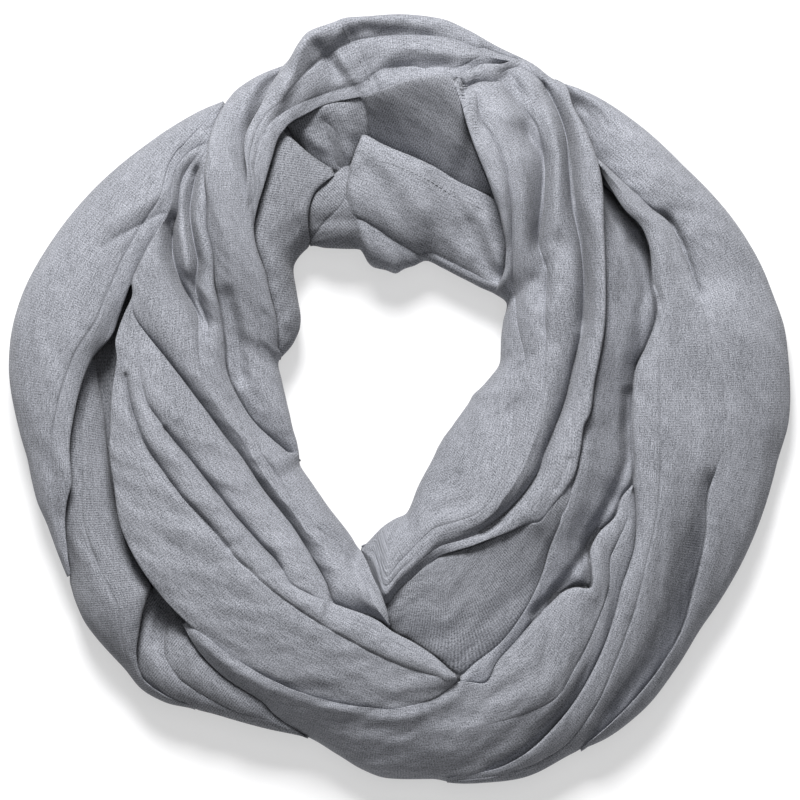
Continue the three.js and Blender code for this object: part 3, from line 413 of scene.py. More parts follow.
# Creases inside a stretch: kind, height (a trough is negative), width, and rows of [angle, radius].
# A fold is rounded and a pinch is sharp.
CREASES = {
    "back_arch": [
        ("pinch", -1.2, 1.0, [[99.5, 199], [98.8, 193], [98, 186], [97, 178], [96, 171], [95.3, 165]]),
        ("pinch", -2.6, 1.2, [[97.8, 204], [97.5, 200], [97, 192], [96, 183], [95, 175], [93.5, 165]]),
        ("fold", 3.0, 3.0, [[99.5, 205], [100, 192], [98.5, 178], [97, 169]]),
        ("fold", -5.0, 3.5, [[104, 202], [103, 194], [101.5, 184], [100, 174]]),
        ("fold", 5.0, 4.0, [[105, 205], [107, 194], [109, 183], [112, 173]]),
        ("fold", -3.5, 4.0, [[97, 203], [93, 199], [89, 198], [84, 197.5]]),
        ("fold", 3.0, 4.0, [[93, 180], [92, 186], [90, 189.5], [87, 190.5], [83, 190], [77, 189.5]]),
        ("fold", -3.5, 4.0, [[93, 177], [89, 179.5], [85, 180.5], [80, 182]]),
    ],
    "left_inner_roll": [
        ("fold", -6.0, 4.0, [[110, 189], [113, 184], [117, 173], [120.5, 163]]),
        ("fold", -5.0, 4.0, [[146, 113], [153, 102], [160, 94], [168, 89], [176, 83]]),
    ],
    "back_inner_left": [
        ("fold", -4.0, 2.5, [[106, 160], [104.5, 150], [104, 138], [104, 128]]),
        ("fold", 3.0, 3.5, [[110, 158], [108.5, 148], [106.5, 138]]),
        ("fold", 3.0, 3.5, [[102, 162], [100.5, 150], [99.5, 142]]),
    ],
    "right_outer_panel": [
        ("fold", -5.0, 4.5, [[61, 188], [57, 186], [54, 181]]),
        ("pinch", -1.5, 1.5, [[57, 190], [54, 187.5], [52, 184]]),
        ("pinch", -6.0, 1.8, [[36, 171.5], [33, 175], [28, 174], [24, 172.3], [19, 171]]),
    ],
    "collar_band": [
        ("fold", -3.5, 4.5, [[50, 80], [56, 86], [62, 93], [67, 101], [71, 107]]),
        ("fold", 2.0, 4.0, [[50, 86], [56, 94], [62, 103], [67, 111]]),
        ("fold", 3.0, 6.0, [[97, 136], [90, 118], [84, 104], [78, 96]]),
        ("fold", -3.0, 6.0, [[84, 126], [76, 112], [70, 98], [64, 86]]),
        ("fold", -1.5, 5.0, [[104, 118], [99, 124], [93, 128]]),
    ],
    "right_pleated_fall": [
        ("pinch", -5.0, 1.4, [[66, 189], [62, 180], [58, 169.5], [54, 157], [48, 141], [40, 128.5],
            [30, 115], [20, 104.5], [10, 94.5], [0, 89], [-10, 85], [-20, 83], [-30, 84], [-45, 83.5],
            [-60, 83]]),
        ("fold", -6.0, 4.2, [[66, 189], [62, 180], [58, 169.5], [54, 157], [48, 141], [40, 128.5],
            [30, 115], [20, 104.5]]),
        ("pinch", -3.0, 1.6, [[65, 160], [60, 152.5], [58, 145.5], [55, 133], [52, 121.5], [50, 115.5],
            [46, 109], [42, 105]]),
        ("fold", -7.0, 4.5, [[67, 166], [63, 157], [60, 152], [58, 145], [55, 133], [52, 121.5],
            [50, 115], [46, 108]]),
        ("fold", 4.0, 5.0, [[64, 178], [60, 166], [57, 155], [54, 143], [50, 130], [45, 119]]),
        ("fold", 3.5, 5.5, [[66, 150], [62, 140], [58, 127], [54, 116], [49, 104], [42, 94]]),
        ("pinch", -2.5, 1.2, [[77.5, 189], [76.5, 180], [76, 172], [75, 165], [74.3, 157]]),
        ("fold", -8.0, 5.0, [[73, 192], [71, 184], [69, 178], [67, 172]]),
        ("fold", 4.0, 5.0, [[72, 168], [69, 163], [66, 160]]),
        ("fold", -3.0, 6.0, [[66, 112], [60, 102], [54, 95], [50, 91]]),
        ("fold", -2.0, 3.5, [[1, 62], [-4, 60.5], [-9, 59], [-14, 58]]),
        ("pinch", -1.8, 1.5, [[20, 78], [16, 68], [14, 62], [12, 58]]),
        ("fold", -3.5, 5, [[43, 103], [38, 98], [32, 90]]),
        ("pinch", -2.0, 1.5, [[-18, 96], [-24, 97], [-31, 97.5]]),
    ],
    "front_lower_roll": [
        ("fold", 2.5, 4.0, [[226, 168], [234, 170], [244, 171], [256, 171], [268, 171], [276, 168]]),
        ("fold", -2.5, 5.0, [[282, 206], [288, 204], [294, 198], [299, 192]]),
    ],
    "right_mid_strip": [
        ("fold", -2.0, 3, [[36, 152], [30, 148], [24, 145], [20, 138], [12, 132], [6, 128]]),
        ("fold", -4.0, 3, [[4, 123], [-6, 123], [-16, 127], [-30, 126], [-40, 130], [-50, 133],
            [-60, 137]]),
    ],
    "left_outer_panel": [
        ("pinch", -2.0, 1.6, [[141, 161.5], [144, 166], [148, 172], [152, 179], [154, 182]]),
        ("fold", 1.8, 4.5, [[137, 168], [142, 173], [148, 181], [151, 187]]),
    ],
    "front_sweep": [
        ("pinch", -4.0, 1.4, [[174, 148.5], [182, 144.5], [190, 139], [196, 133.5], [204, 128],
            [214, 122.5], [222, 121]]),
        ("pinch", -4.0, 1.4, [[186, 128.5], [196, 117], [204, 111.5], [212, 108.8], [220, 107.5],
            [230, 108], [236, 112]]),
    ],
    "left_pleated_fall": [
        ("pinch", -4.0, 1.5, [[141, 158], [144, 152], [147, 146], [151, 136], [154, 127], [158, 116],
            [163, 108]]),
        ("fold", -5.0, 3.6, [[140, 160], [144, 152], [148, 144], [152, 133], [156, 121], [161, 111]]),
        ("pinch", -4.0, 1.3, [[131, 167], [134, 160], [138, 152], [142, 141], [146, 131.5],
            [151, 125.5], [155, 118], [160, 109]]),
        ("fold", -3.0, 3.0, [[130, 169], [134, 160.5], [138, 152.5], [142, 141.5], [146, 132.5],
            [151, 126], [156, 116]]),
        ("fold", 2.5, 3.4, [[133, 170], [138, 160], [142, 150], [146, 139], [150, 131]]),
    ],
    "bottom_left_turn": [
        ("fold", -6.0, 4.0, [[221, 168], [222.5, 175], [225, 185], [226.5, 191]]),
    ],
    "right_outer_fold": [
        ("pinch", -2.0, 1.5, [[30, 151], [26, 150], [22, 150.5]]),
        ("fold", -3.4, 6.0, [[-12, 171], [-18, 173], [-22, 176], [-28, 181], [-36, 188], [-44, 195],
            [-52, 200.5], [-59, 206]]),
    ],
}

# Rows of stitches: the stretch, the line as rows of [angle, radius], how far to its left they lie, their
# pitch and length, and the angle between each stitch and the line
STITCHES = {
    "overlock_stitches": {
        "on": "right_pleated_fall", "rows": LINES["overlock_edge"][1:], "left": -3.2, "pitch": 1.7,
        "length": 4.6, "turn": 78.0,
    },
    "collar_hem_stitches": {
        "on": "collar_band", "rows": LINES["collar_edge"][6:13], "left": 8.0, "pitch": 2.7, "length": 1.8,
        "turn": 4.0,
    },
    "arch_seam_stitches": {
        "on": "back_arch", "rows": [[99.2, 203], [98.2, 193], [97, 182], [95.8, 172]], "left": 1.6,
        "pitch": 2.7, "length": 1.8, "turn": 4.0,
    },
}


# Lines and heights

# How far the change from one line to the next is eased, in samples
LINE_EASE = 1.5


def smooth_rows(rows, at):
    """Values at angles of rows of [angle, value], or of one value: a cubic with no overshoot, level past
    both ends."""
    at = np.asarray(at, float)
    if not isinstance(rows, list):
        return np.full(at.shape, float(rows))
    x, y = np.array(rows, float).T
    if len(x) == 1:
        return np.full(at.shape, y[0])
    step = np.diff(x)
    rise = np.diff(y) / step
    slope = np.zeros_like(y)
    slope[0], slope[-1] = rise[0], rise[-1]
    same_way = rise[:-1] * rise[1:] > 0
    before, after = rise[:-1][same_way], rise[1:][same_way]
    w0, w1 = (step[:-1] + 2 * step[1:])[same_way], (2 * step[:-1] + step[1:])[same_way]
    slope[1:-1][same_way] = (w0 + w1) / (w0 / after + w1 / before)
    here = np.clip(at, x[0], x[-1])
    i = np.clip(np.searchsorted(x, here, side="right") - 1, 0, len(x) - 2)
    t = (here - x[i]) / step[i]
    return ((1 + 2 * t) * (1 - t) ** 2 * y[i] + t * (1 - t) ** 2 * step[i] * slope[i]
            + t * t * (3 - 2 * t) * y[i + 1] + t * t * (t - 1) * step[i] * slope[i + 1])


def line_radius(name, angles):
    """Radii of a named line at angles, taken a full turn on or back where the line lies there."""
    rows = LINES[name]
    first, last = rows[0][0], rows[-1][0]
    angles = np.asarray(angles, float)
    turned = angles.copy()
    for turn in (-360, 360):
        inside = (angles + turn >= first) & (angles + turn <= last)
        outside = (turned < first) | (turned > last)
        turned = np.where(inside & outside, angles + turn, turned)
    return smooth_rows(rows, turned)


def edge_names(line, angles):
    """The line that an edge follows at each angle."""
    if isinstance(line, str):
        return [line] * len(angles)
    ends = [row[1] if len(row) > 1 else np.inf for row in line]
    return [line[int(np.searchsorted(ends, angle))][0] for angle in angles]


def blurred(values, width):
    """Values along a stretch, smoothed over about width samples."""
    reach = int(3 * width) + 1
    kernel = np.exp(-0.5 * (np.arange(-reach, reach + 1) / width) ** 2)
    padded = np.pad(values, reach, mode="edge")
    return np.convolve(padded, kernel / kernel.sum(), mode="valid")


def edge_radii(line, angles):
    """Radii of an edge that may follow several lines, eased where one gives way to the next."""
    names = np.array(edge_names(line, angles))
    radii = np.zeros(len(angles))
    for name in set(names):
        here = names == name
        radii[here] = line_radius(name, angles[here])
    return radii if isinstance(line, str) else blurred(radii, LINE_EASE)


def rounded(distance, flat, steep):
    """Height of a rounded curve, 1 at its middle and 0 at its side, at 0 to 1 from the middle."""
    return np.power(1 - np.power(np.clip(distance, 0, 1), flat), steep)


def heap_height(angles, radii):
    """Height of the heap's own curve, round over the ring and steep at both rims."""
    inner = line_radius("hole_rim", angles)
    outer = line_radius("outer_rim", angles)
    if radii.ndim == 2:
        inner, outer = inner[:, None], outer[:, None]
    share = np.clip((radii - inner) / (outer - inner), 0, 1)
    crown = smooth_rows(CROWN, np.mod(angles, 360))
    if radii.ndim == 2:
        crown = crown[:, None]
    return RIM_HEIGHT + (crown - RIM_HEIGHT) * rounded(np.abs(2 * share - 1), HEAP_FLAT, HEAP_STEEP)


def neighbour_lift(name, side, angles):
    """Lift of the stretch that shares an edge, or the bare depth where none does."""
    own = STRETCHES[name].across[0 if side == "inner" else -1]
    own_names = edge_names(own.line, angles)
    lift = np.full(len(angles), -BARE_DEPTH)
    for other_name, other in STRETCHES.items():
        if other_name == name:
            continue
        row = other.across[-1 if side == "inner" else 0]
        for turn in (-360, 0, 360):
            there = angles + turn
            inside = (there >= other.show[0]) & (there <= other.show[1])
            names = edge_names(row.line, there)
            shared = np.array([a == b for a, b in zip(names, own_names)]) & inside
            lift = np.where(shared, smooth_rows(row.lift, there), lift)
    return lift


# Cloth meshes

# Least width of a stretch, least number of cells across a fold, samples for a stretch's mean radius, and
# how far the cells crowd at a fold's creases
LEAST_WIDTH = 0.3
LEAST_CELLS = 6
MIDDLE_SAMPLES = 30
EVEN_SHARE, CROWDED_SHARE = 0.45, 0.55

# Edges: their rows, how far one turns in over a lower neighbour, how far it drops there, how far it runs
# on beneath a higher one, how far that stays inside the rims, and the samples that a change takes
EDGE_ROWS = 7
TURN_REACH = 1.0
TURN_OVERLAP = 2
LEAST_TURN, MOST_TURN = 3, 30
UNDER_REACH = 8.0
UNDER_DROP = 6.0
RIM_MARGIN = 5.0
EDGE_EASE = 2

# Length over which the end of a stretch dives
DIVE_REACH = 9.0


def crease_radii(stretch, angles):
    """Radii of a stretch's edges and creases, one column each, pushed apart where folds run together."""
    radii = np.stack([edge_radii(row.line, angles) for row in stretch.across], axis=1)
    last = radii.shape[1] - 1
    radii[:, last] = np.maximum(radii[:, last], radii[:, 0] + LEAST_WIDTH)
    least = np.minimum(LEAST_FOLD, (radii[:, last] - radii[:, 0]) / last)
    for i in range(1, last):
        radii[:, i] = np.maximum(radii[:, i], radii[:, i - 1] + least)
    for i in range(last - 1, 0, -1):
        radii[:, i] = np.minimum(radii[:, i], radii[:, i + 1] - least)
    return radii


def fold_shares(width):
    """Shares across one fold, closer together at its two creases."""
    count = max(LEAST_CELLS, int(width / CELL))
    even = np.linspace(0, 1, count + 1)
    return EVEN_SHARE * even + CROWDED_SHARE * (1 - np.cos(math.pi * even)) / 2


def edge_strip(name, side, angles, radii, heights):
    """Columns that finish one edge: rolled under on an outline, turned down over a lower neighbour,
    or run on beneath a higher one."""
    inward = 1 if side == "inner" else -1
    row = STRETCHES[name].across[0 if side == "inner" else -1]
    on_rim = np.array([n.endswith("_rim") for n in edge_names(row.line, angles)], float)
    on_rim = blurred(on_rim, EDGE_EASE)[:, None]
    over = smooth_rows(row.lift, angles) - neighbour_lift(name, side, angles)
    over = blurred(over, EDGE_EASE)[:, None]
    t = np.linspace(0, 1, EDGE_ROWS + 1)[None, 1:]
    r0, z0 = radii[:, None], heights[:, None]
    rim_r = r0 + inward * FOOT_REACH * (1 - np.cos(t * math.pi / 2))
    rim_z = z0 + (FOOT_HEIGHT - z0) * np.sin(t * math.pi / 2)
    drop = np.clip(over + TURN_OVERLAP, LEAST_TURN, MOST_TURN)
    turn_r = r0 + inward * TURN_REACH * t ** 2
    turn_z = z0 - drop * t
    least = line_radius("hole_rim", angles)[:, None] + RIM_MARGIN
    most = line_radius("outer_rim", angles)[:, None] - RIM_MARGIN
    under_r = np.clip(r0 - inward * UNDER_REACH * t, np.minimum(least, r0), np.maximum(most, r0))
    under_z = z0 - UNDER_DROP * t ** 1.5
    is_over = np.clip(over / 2 + 0.5, 0, 1)
    seam_r = under_r + (turn_r - under_r) * is_over
    seam_z = under_z + (turn_z - under_z) * is_over
    return seam_r + (rim_r - seam_r) * on_rim, seam_z + (rim_z - seam_z) * on_rim


def end_dive(stretch, angles, mid_radius):
    """Drop of a stretch towards each of its two ends, where they run under what covers them."""
    drop = np.zeros(len(angles))
    for end, depth in zip(stretch.show, stretch.dive):
        length = np.abs(angles - end) * math.pi / 180 * mid_radius
        drop += depth * np.clip(1 - length / DIVE_REACH, 0, 1) ** 2
    return drop


def stretch_grid(name):
    """Angles, radii and heights of a stretch's outer face, edges included, as rows along it."""
    stretch = STRETCHES[name]
    first, last = stretch.show
    mid = np.mean(edge_radii(stretch.across[-1].line, np.linspace(first, last, MIDDLE_SAMPLES)))
    count = int((last - first) * math.pi / 180 * mid / CELL)
    angles = np.linspace(first, last, count + 1)
    creases = crease_radii(stretch, angles)
    lifts = [smooth_rows(row.lift, angles) for row in stretch.across]
    radii, heights = [], []
    for i in range(creases.shape[1] - 1):
        width = creases[:, i + 1] - creases[:, i]
        shares = fold_shares(width.max())
        if i:
            shares = shares[1:]
        r = creases[:, i, None] + width[:, None] * shares
        rise = smooth_rows(stretch.across[i].rise, angles) * np.minimum(1, width / FULL_RISE_WIDTH)
        to_crease = np.minimum(shares, 1 - shares) * width[:, None]
        fold = rise[:, None] * rounded(1 - np.clip(to_crease / ROLL_WIDTH, 0, 1), FOLD_FLAT, FOLD_STEEP)
        lift = lifts[i][:, None] + (lifts[i + 1] - lifts[i])[:, None] * shares
        radii.append(r)
        heights.append(heap_height(angles, r) + lift + fold)
    radii, heights = np.hstack(radii), np.hstack(heights)
    heights -= end_dive(stretch, angles, mid)[:, None]
    inner = edge_strip(name, "inner", angles, radii[:, 0], heights[:, 0])
    outer = edge_strip(name, "outer", angles, radii[:, -1], heights[:, -1])
    radii = np.hstack([inner[0][:, ::-1], radii, outer[0]])
    heights = np.hstack([inner[1][:, ::-1], heights, outer[1]])
    return angles, radii, heights


# Points to each row of a crease, its least step, and how it fades out: over how many of its widths, and
# from what share
CREASE_POINTS = 8
LEAST_STEP = 1e-6
FADE_WIDTHS = 2.5
FADE_START = 0.15


def path_points(rows):
    """Rows of [angle, radius] as a smooth line of points in the plane."""
    fine = np.linspace(0, len(rows) - 1, CREASE_POINTS * len(rows))
    a = smooth_rows([[i, row[0]] for i, row in enumerate(rows)], fine)
    r = smooth_rows([[i, row[1]] for i, row in enumerate(rows)], fine)
    return np.stack([r * np.cos(np.radians(a)), r * np.sin(np.radians(a))], axis=1)


def crease_field(xy, path):
    """Each point's distance from a crease, and distance along it from its nearer end."""
    nearest = np.full(len(xy), np.inf)
    along = np.zeros(len(xy))
    lengths = np.hypot(*np.diff(path, axis=0).T)
    start = np.concatenate([[0], np.cumsum(lengths)])
    for i, length in enumerate(lengths):
        if length < LEAST_STEP:
            continue
        way = (path[i + 1] - path[i]) / length
        rel = xy - path[i]
        t = np.clip(rel @ way, 0, length)
        off = rel - t[:, None] * way
        dist = np.hypot(off[:, 0], off[:, 1])
        closer = dist < nearest
        nearest = np.where(closer, dist, nearest)
        along = np.where(closer, start[i] + t, along)
    return nearest, np.minimum(along, start[-1] - along)


def add_creases(name, x, y, z):
    """Heights with the stretch's own troughs and ridges."""
    xy = np.stack([x.ravel(), y.ravel()], axis=1)
    change = np.zeros(len(xy))
    for kind, height, width, rows in CREASES.get(name, []):
        path = path_points(rows)
        margin = 4 * width
        near = np.all((xy > path.min(axis=0) - margin) & (xy < path.max(axis=0) + margin), axis=1)
        dist, to_end = crease_field(xy[near], path)
        fade = np.clip(to_end / (FADE_WIDTHS * width) + FADE_START, 0, 1)
        fade = fade * fade * (3 - 2 * fade)
        shape = np.exp(-(dist / width) ** 2) if kind == "fold" else np.exp(-dist / width)
        change[near] += height * shape * fade
    return z + change.reshape(z.shape)


# Waves over the cloth, as rows of length, width and height. Each is drawn three times, turned at most
# WAVE_TURN radians, and bends over WAVE_BEND of its lengths. They grow from nothing at half of WAVE_GROWTH
# above the floor to full height at one and a half times it.
WAVES = ((70, 24, 0.7), (45, 16, 0.5), (28, 11, 0.3), (16, 7, 0.14))
WAVE_DRAWS = 3
WAVE_TURN = 0.5
WAVE_BEND = 1.7
WAVE_GROWTH = 12
# Degree of the smooth curve that a stretch's middle line is drawn as
EASED_DEGREE = 5


def ripples(name, along, across):
    """Slight uneven waves over a stretch, drawn out along it."""
    rng = np.random.default_rng(sum(map(ord, name)))
    wave = np.zeros_like(along)
    for length, width, height in WAVES:
        for _ in range(WAVE_DRAWS):
            turn = rng.uniform(-WAVE_TURN, WAVE_TURN)
            phase = rng.uniform(0, 2 * math.pi)
            u = along * math.cos(turn) + across * math.sin(turn)
            v = across * math.cos(turn) - along * math.sin(turn)
            bend = np.sin(2 * math.pi * u / (length * WAVE_BEND) + phase * 2)
            wave += height * np.sin(2 * math.pi * (u / length + v / width) + phase + bend) / WAVE_DRAWS
    return wave


def eased(values):
    """The values of a middle line drawn as one smooth curve."""
    order = np.linspace(-1, 1, len(values))
    return np.polynomial.Polynomial.fit(order, values, EASED_DEGREE)(order)


def flat_coordinates(x, y):
    """Lengths along and across a short stretch at each point, straight from its first end to its last."""
    mid = x.shape[1] // 2
    way = np.array([x[-1, mid] - x[0, mid], y[-1, mid] - y[0, mid]])
    way /= np.hypot(*way)
    return x * way[0] + y * way[1], y * way[0] - x * way[1]


def cloth_coordinates(x, y, z):
    """Lengths along and across a stretch at each point, square to its middle line."""
    mid = x.shape[1] // 2
    first, last = EDGE_ROWS, x.shape[1] - EDGE_ROWS - 1
    mx, my = (x[:, first] + x[:, last]) / 2, (y[:, first] + y[:, last]) / 2
    mx, my = eased(mx), eased(my)
    tx, ty = np.gradient(mx), np.gradient(my)
    length = np.hypot(tx, ty)
    tx, ty = tx / length, ty / length
    start = np.concatenate([[0], np.cumsum(np.hypot(np.diff(mx), np.diff(my)))])
    rel_x, rel_y = x - mx[:, None], y - my[:, None]
    along = start[:, None] + rel_x * tx[:, None] + rel_y * ty[:, None]
    step = np.sqrt(np.diff(x, axis=1) ** 2 + np.diff(y, axis=1) ** 2 + np.diff(z, axis=1) ** 2)
    across = np.concatenate([np.zeros((len(x), 1)), np.cumsum(step, axis=1)], axis=1)
    return along, across - across[:, mid, None]


def add_object(name, data):
    """A new object in the scene."""
    obj = bpy.data.objects.new(name, data)
    bpy.context.scene.collection.objects.link(obj)
    return obj


def in_plane(radii, angles):
    """x and y of rows of radii, one row at each angle."""
    return radii * np.cos(np.radians(angles))[:, None], radii * np.sin(np.radians(angles))[:, None]


def mesh_from_grid(name, x, y, z, along, across):
    """A mesh of quads over a grid of points in millimetres, with the cloth's lengths as its UVs."""
    rows, cols = x.shape
    verts = np.stack([x, y, z], axis=-1).reshape(-1, 3) * MM
    i, j = np.meshgrid(np.arange(rows - 1), np.arange(cols - 1), indexing="ij")
    a = i * cols + j
    faces = np.stack([a, a + 1, a + cols + 1, a + cols], axis=-1).reshape(-1, 4)
    mesh = bpy.data.meshes.new(name)
    mesh.vertices.add(len(verts))
    mesh.vertices.foreach_set("co", verts.ravel())
    mesh.loops.add(faces.size)
    mesh.loops.foreach_set("vertex_index", faces.ravel())
    mesh.polygons.add(len(faces))
    mesh.polygons.foreach_set("loop_start", np.arange(0, faces.size, 4))
    mesh.polygons.foreach_set("loop_total", np.full(len(faces), 4))
    mesh.update(calc_edges=True)
    uv = mesh.uv_layers.new(name="cloth")
    lengths = np.stack([along, across], axis=-1).reshape(-1, 2) * MM
    uv.data.foreach_set("uv", lengths[faces.ravel()].ravel())
    mesh.shade_smooth()
    return add_object(name, mesh)


def add_thickness(obj):
    """The cloth's thickness, below its outer face."""
    solidify = obj.modifiers.new("thickness", "SOLIDIFY")
    solidify.thickness = CLOTH_THICKNESS * MM
    solidify.offset = -1


def make_stretch(name, grid):
    """One stretch as a sheet, and the grid of its outer face with its creases."""
    angles, radii, heights = grid
    x, y = in_plane(radii, angles)
    is_short = angles[-1] - angles[0] < SHORT_STRETCH
    along, across = flat_coordinates(x, y) if is_short else cloth_coordinates(x, y, heights)
    heights = add_creases(name, x, y, heights)
    heights = heights + ripples(name, along, across) * np.clip(heights / WAVE_GROWTH - 0.5, 0, 1)
    heights = np.maximum(heights, LEAST_HEIGHT)
    obj = mesh_from_grid("cloth_" + name, x, y, heights, along, across)
    add_thickness(obj)
    return obj, (angles, radii, heights)


# Stitches

# A thread's radius, and its height over the cloth at its start, middle and end
THREAD_RADIUS = 0.32
THREAD_RISES = (-0.3, 0.1, -0.3)


def height_on(grid, x, y):
    """Height of a stretch's outer face at a point in the plane."""
    angles, radii, heights = grid
    angle = math.degrees(math.atan2(y, x))
    if angle < angles[0]:
        angle += 360
    row = int(np.clip(np.searchsorted(angles, angle), 0, len(angles) - 1))
    face = slice(EDGE_ROWS, radii.shape[1] - EDGE_ROWS)
    return float(np.interp(math.hypot(x, y), radii[row, face], heights[row, face]))


def stitch_places(rows, left, pitch):
    """Middles of the stitches along a line, and the line's direction at each."""
    path = path_points(rows)
    step = np.hypot(*np.diff(path, axis=0).T)
    start = np.concatenate([[0], np.cumsum(step)])
    at = np.arange(pitch / 2, start[-1], pitch)
    places = np.stack([np.interp(at, start, path[:, k]) for k in (0, 1)], axis=1)
    ways = np.gradient(places, axis=0)
    ways /= np.hypot(*ways.T)[:, None]
    return places + left * np.stack([-ways[:, 1], ways[:, 0]], axis=1), ways


def make_stitches(name, grid, row):
    """A row of short threads that lie on a stretch and dip into it at both ends."""
    curve = bpy.data.curves.new(name, "CURVE")
    curve.dimensions = "3D"
    curve.bevel_depth = THREAD_RADIUS * MM
    curve.bevel_resolution = 1
    turn = math.radians(row["turn"])
    places, ways = stitch_places(row["rows"], row["left"], row["pitch"])
    for (x, y), (wx, wy) in zip(places, ways):
        dx = wx * math.cos(turn) - wy * math.sin(turn)
        dy = wy * math.cos(turn) + wx * math.sin(turn)
        stitch = curve.splines.new("POLY")
        stitch.points.add(2)
        for point, share, rise in zip(stitch.points, (-0.5, 0, 0.5), THREAD_RISES):
            px, py = x + dx * share * row["length"], y + dy * share * row["length"]
            point.co = (px * MM, py * MM, (height_on(grid, px, py) + rise) * MM, 1)
    return add_object(name, curve)


# Hidden layers

# The skin's rows across, its distance from the rims and from what lies over it, its least height and its
# underside's, its height at the rims and its slope from there, and the layers that show at both sides
CORE_ROWS = 44
CORE_INSET = 4
CORE_CLEARANCE = 1.5
CORE_LEAST, CORE_UNDER = 0.8, 0.1
CORE_FOOT, CORE_SLOPE = 1.0, 2.2
CORE_LAYER, CORE_LAYERED_WIDTH, CORE_STEEPNESS = 3.2, 14, 3
FAR_ABOVE = 1e3


def make_hidden_layers(covers):
    """A skin over the hidden layers: below every stretch, with the edges of layers at both sides."""
    angles = np.linspace(0, 360, 361)
    inner = line_radius("hole_rim", angles) + CORE_INSET
    outer = line_radius("outer_rim", angles) - CORE_INSET
    shares = np.linspace(0, 1, CORE_ROWS)
    radii = inner[:, None] + (outer - inner)[:, None] * shares
    depth = heap_height(angles, radii) - BARE_DEPTH
    side = np.minimum(radii - inner[:, None], outer[:, None] - radii)
    heights = np.minimum(depth, CORE_FOOT + CORE_SLOPE * side)
    for cover in covers:
        heights = np.minimum(heights, lowest_over(angles, radii, *cover))
    heights = np.maximum(heights - CORE_CLEARANCE, CORE_LEAST)
    count = heights / CORE_LAYER
    layers = CORE_LAYER * (np.floor(count) + np.clip(np.mod(count, 1) * CORE_STEEPNESS, 0, 1))
    heights = np.where(side < CORE_LAYERED_WIDTH, np.minimum(layers, heights), heights)
    heights = np.hstack([heights, np.full(heights.shape, CORE_UNDER)])
    radii = np.hstack([radii, radii[:, ::-1]])
    x, y = in_plane(radii, angles)
    along, across = cloth_coordinates(x, y, heights)
    obj = mesh_from_grid("cloth_hidden_layers", x, y, heights, along, across)
    add_thickness(obj)
    return obj


def lowest_over(angles, radii, grid_angles, grid_radii, grid_heights):
    """Height of one stretch over the points of a ring, or a great height where it doesn't reach."""
    result = np.full(radii.shape, FAR_ABOVE)
    for turn in (-360, 0):
        rows = np.searchsorted(grid_angles, angles + turn)
        for i, row in enumerate(rows):
            if row == 0 or row >= len(grid_angles):
                continue
            r, z = grid_radii[row], grid_heights[row]
            order = np.argsort(r)
            there = np.interp(radii[i], r[order], z[order], left=FAR_ABOVE, right=FAR_ABOVE)
            result[i] = np.minimum(result[i], there)
    return result


# Materials

RIB_PITCH = 1.25
RIB_DEPTH = 0.25
# A wave node repeats its bands at this many of its own units
WAVE_NODE_PITCH = 2 * math.pi / 20


def new_material(name, **values):
    """A material with values on its shader's sockets, each named as its socket with _ for a space."""
    material = bpy.data.materials.new(name)
    material.use_nodes = True
    shader = material.node_tree.nodes["Principled BSDF"]
    for socket, value in values.items():
        shader.inputs[socket.replace("_", " ")].default_value = value
    return material, material.node_tree, shader


def noise(tree, source, scale, detail=2.0, roughness=0.5):
    """A noise over the cloth, with features of about 1/scale millimetres along and across."""
    mapping = tree.nodes.new("ShaderNodeMapping")
    mapping.inputs["Scale"].default_value = (scale[0] / MM, scale[1] / MM, 1)
    tree.links.new(source, mapping.inputs["Vector"])
    made = tree.nodes.new("ShaderNodeTexNoise")
    made.noise_dimensions = "2D"
    made.inputs["Scale"].default_value = 1.0
    made.inputs["Detail"].default_value = detail
    made.inputs["Roughness"].default_value = roughness
    tree.links.new(mapping.outputs["Vector"], made.inputs["Vector"])
    return made.outputs["Fac"]


def ribs_across(tree, cloth, turn):
    """Fine uneven ribs over the cloth, turned by an angle."""
    mapping = tree.nodes.new("ShaderNodeMapping")
    mapping.inputs["Rotation"].default_value = (0, 0, math.radians(turn - 90))
    pitch = WAVE_NODE_PITCH / (RIB_PITCH * MM)
    mapping.inputs["Scale"].default_value = (pitch, pitch, 1)
    tree.links.new(cloth, mapping.inputs["Vector"])
    ribs = tree.nodes.new("ShaderNodeTexWave")
    ribs.wave_type, ribs.bands_direction = "BANDS", "X"
    ribs.inputs["Scale"].default_value = 1.0
    ribs.inputs["Distortion"].default_value = 1.1
    ribs.inputs["Detail"].default_value = 1.5
    ribs.inputs["Detail Scale"].default_value = 0.35
    tree.links.new(mapping.outputs["Vector"], ribs.inputs["Vector"])
    return ribs.outputs["Fac"]


def math_node(tree, operation, a, b):
    """The result of one operation on two sockets or numbers."""
    made = tree.nodes.new("ShaderNodeMath")
    made.operation = operation
    for socket, value in zip(made.inputs, (a, b)):
        if isinstance(value, (int, float)):
            socket.default_value = value
        else:
            tree.links.new(value, socket)
    return made.outputs[0]


def weighted_sum(tree, parts):
    """The sum of sockets, each times its weight."""
    total = None
    for source, weight in parts:
        part = math_node(tree, "MULTIPLY", source, weight)
        total = part if total is None else math_node(tree, "ADD", total, part)
    return total


def tint(tree, shader, tone, dark, light):
    """Colour the shader by a tone, between two pairs of tone and colour."""
    ramp = tree.nodes.new("ShaderNodeValToRGB")
    for stop, (position, colour) in zip(ramp.color_ramp.elements, (dark, light)):
        stop.position, stop.color = position, (*colour, 1)
    tree.links.new(tone, ramp.inputs["Fac"])
    tree.links.new(ramp.outputs["Color"], shader.inputs["Base Color"])


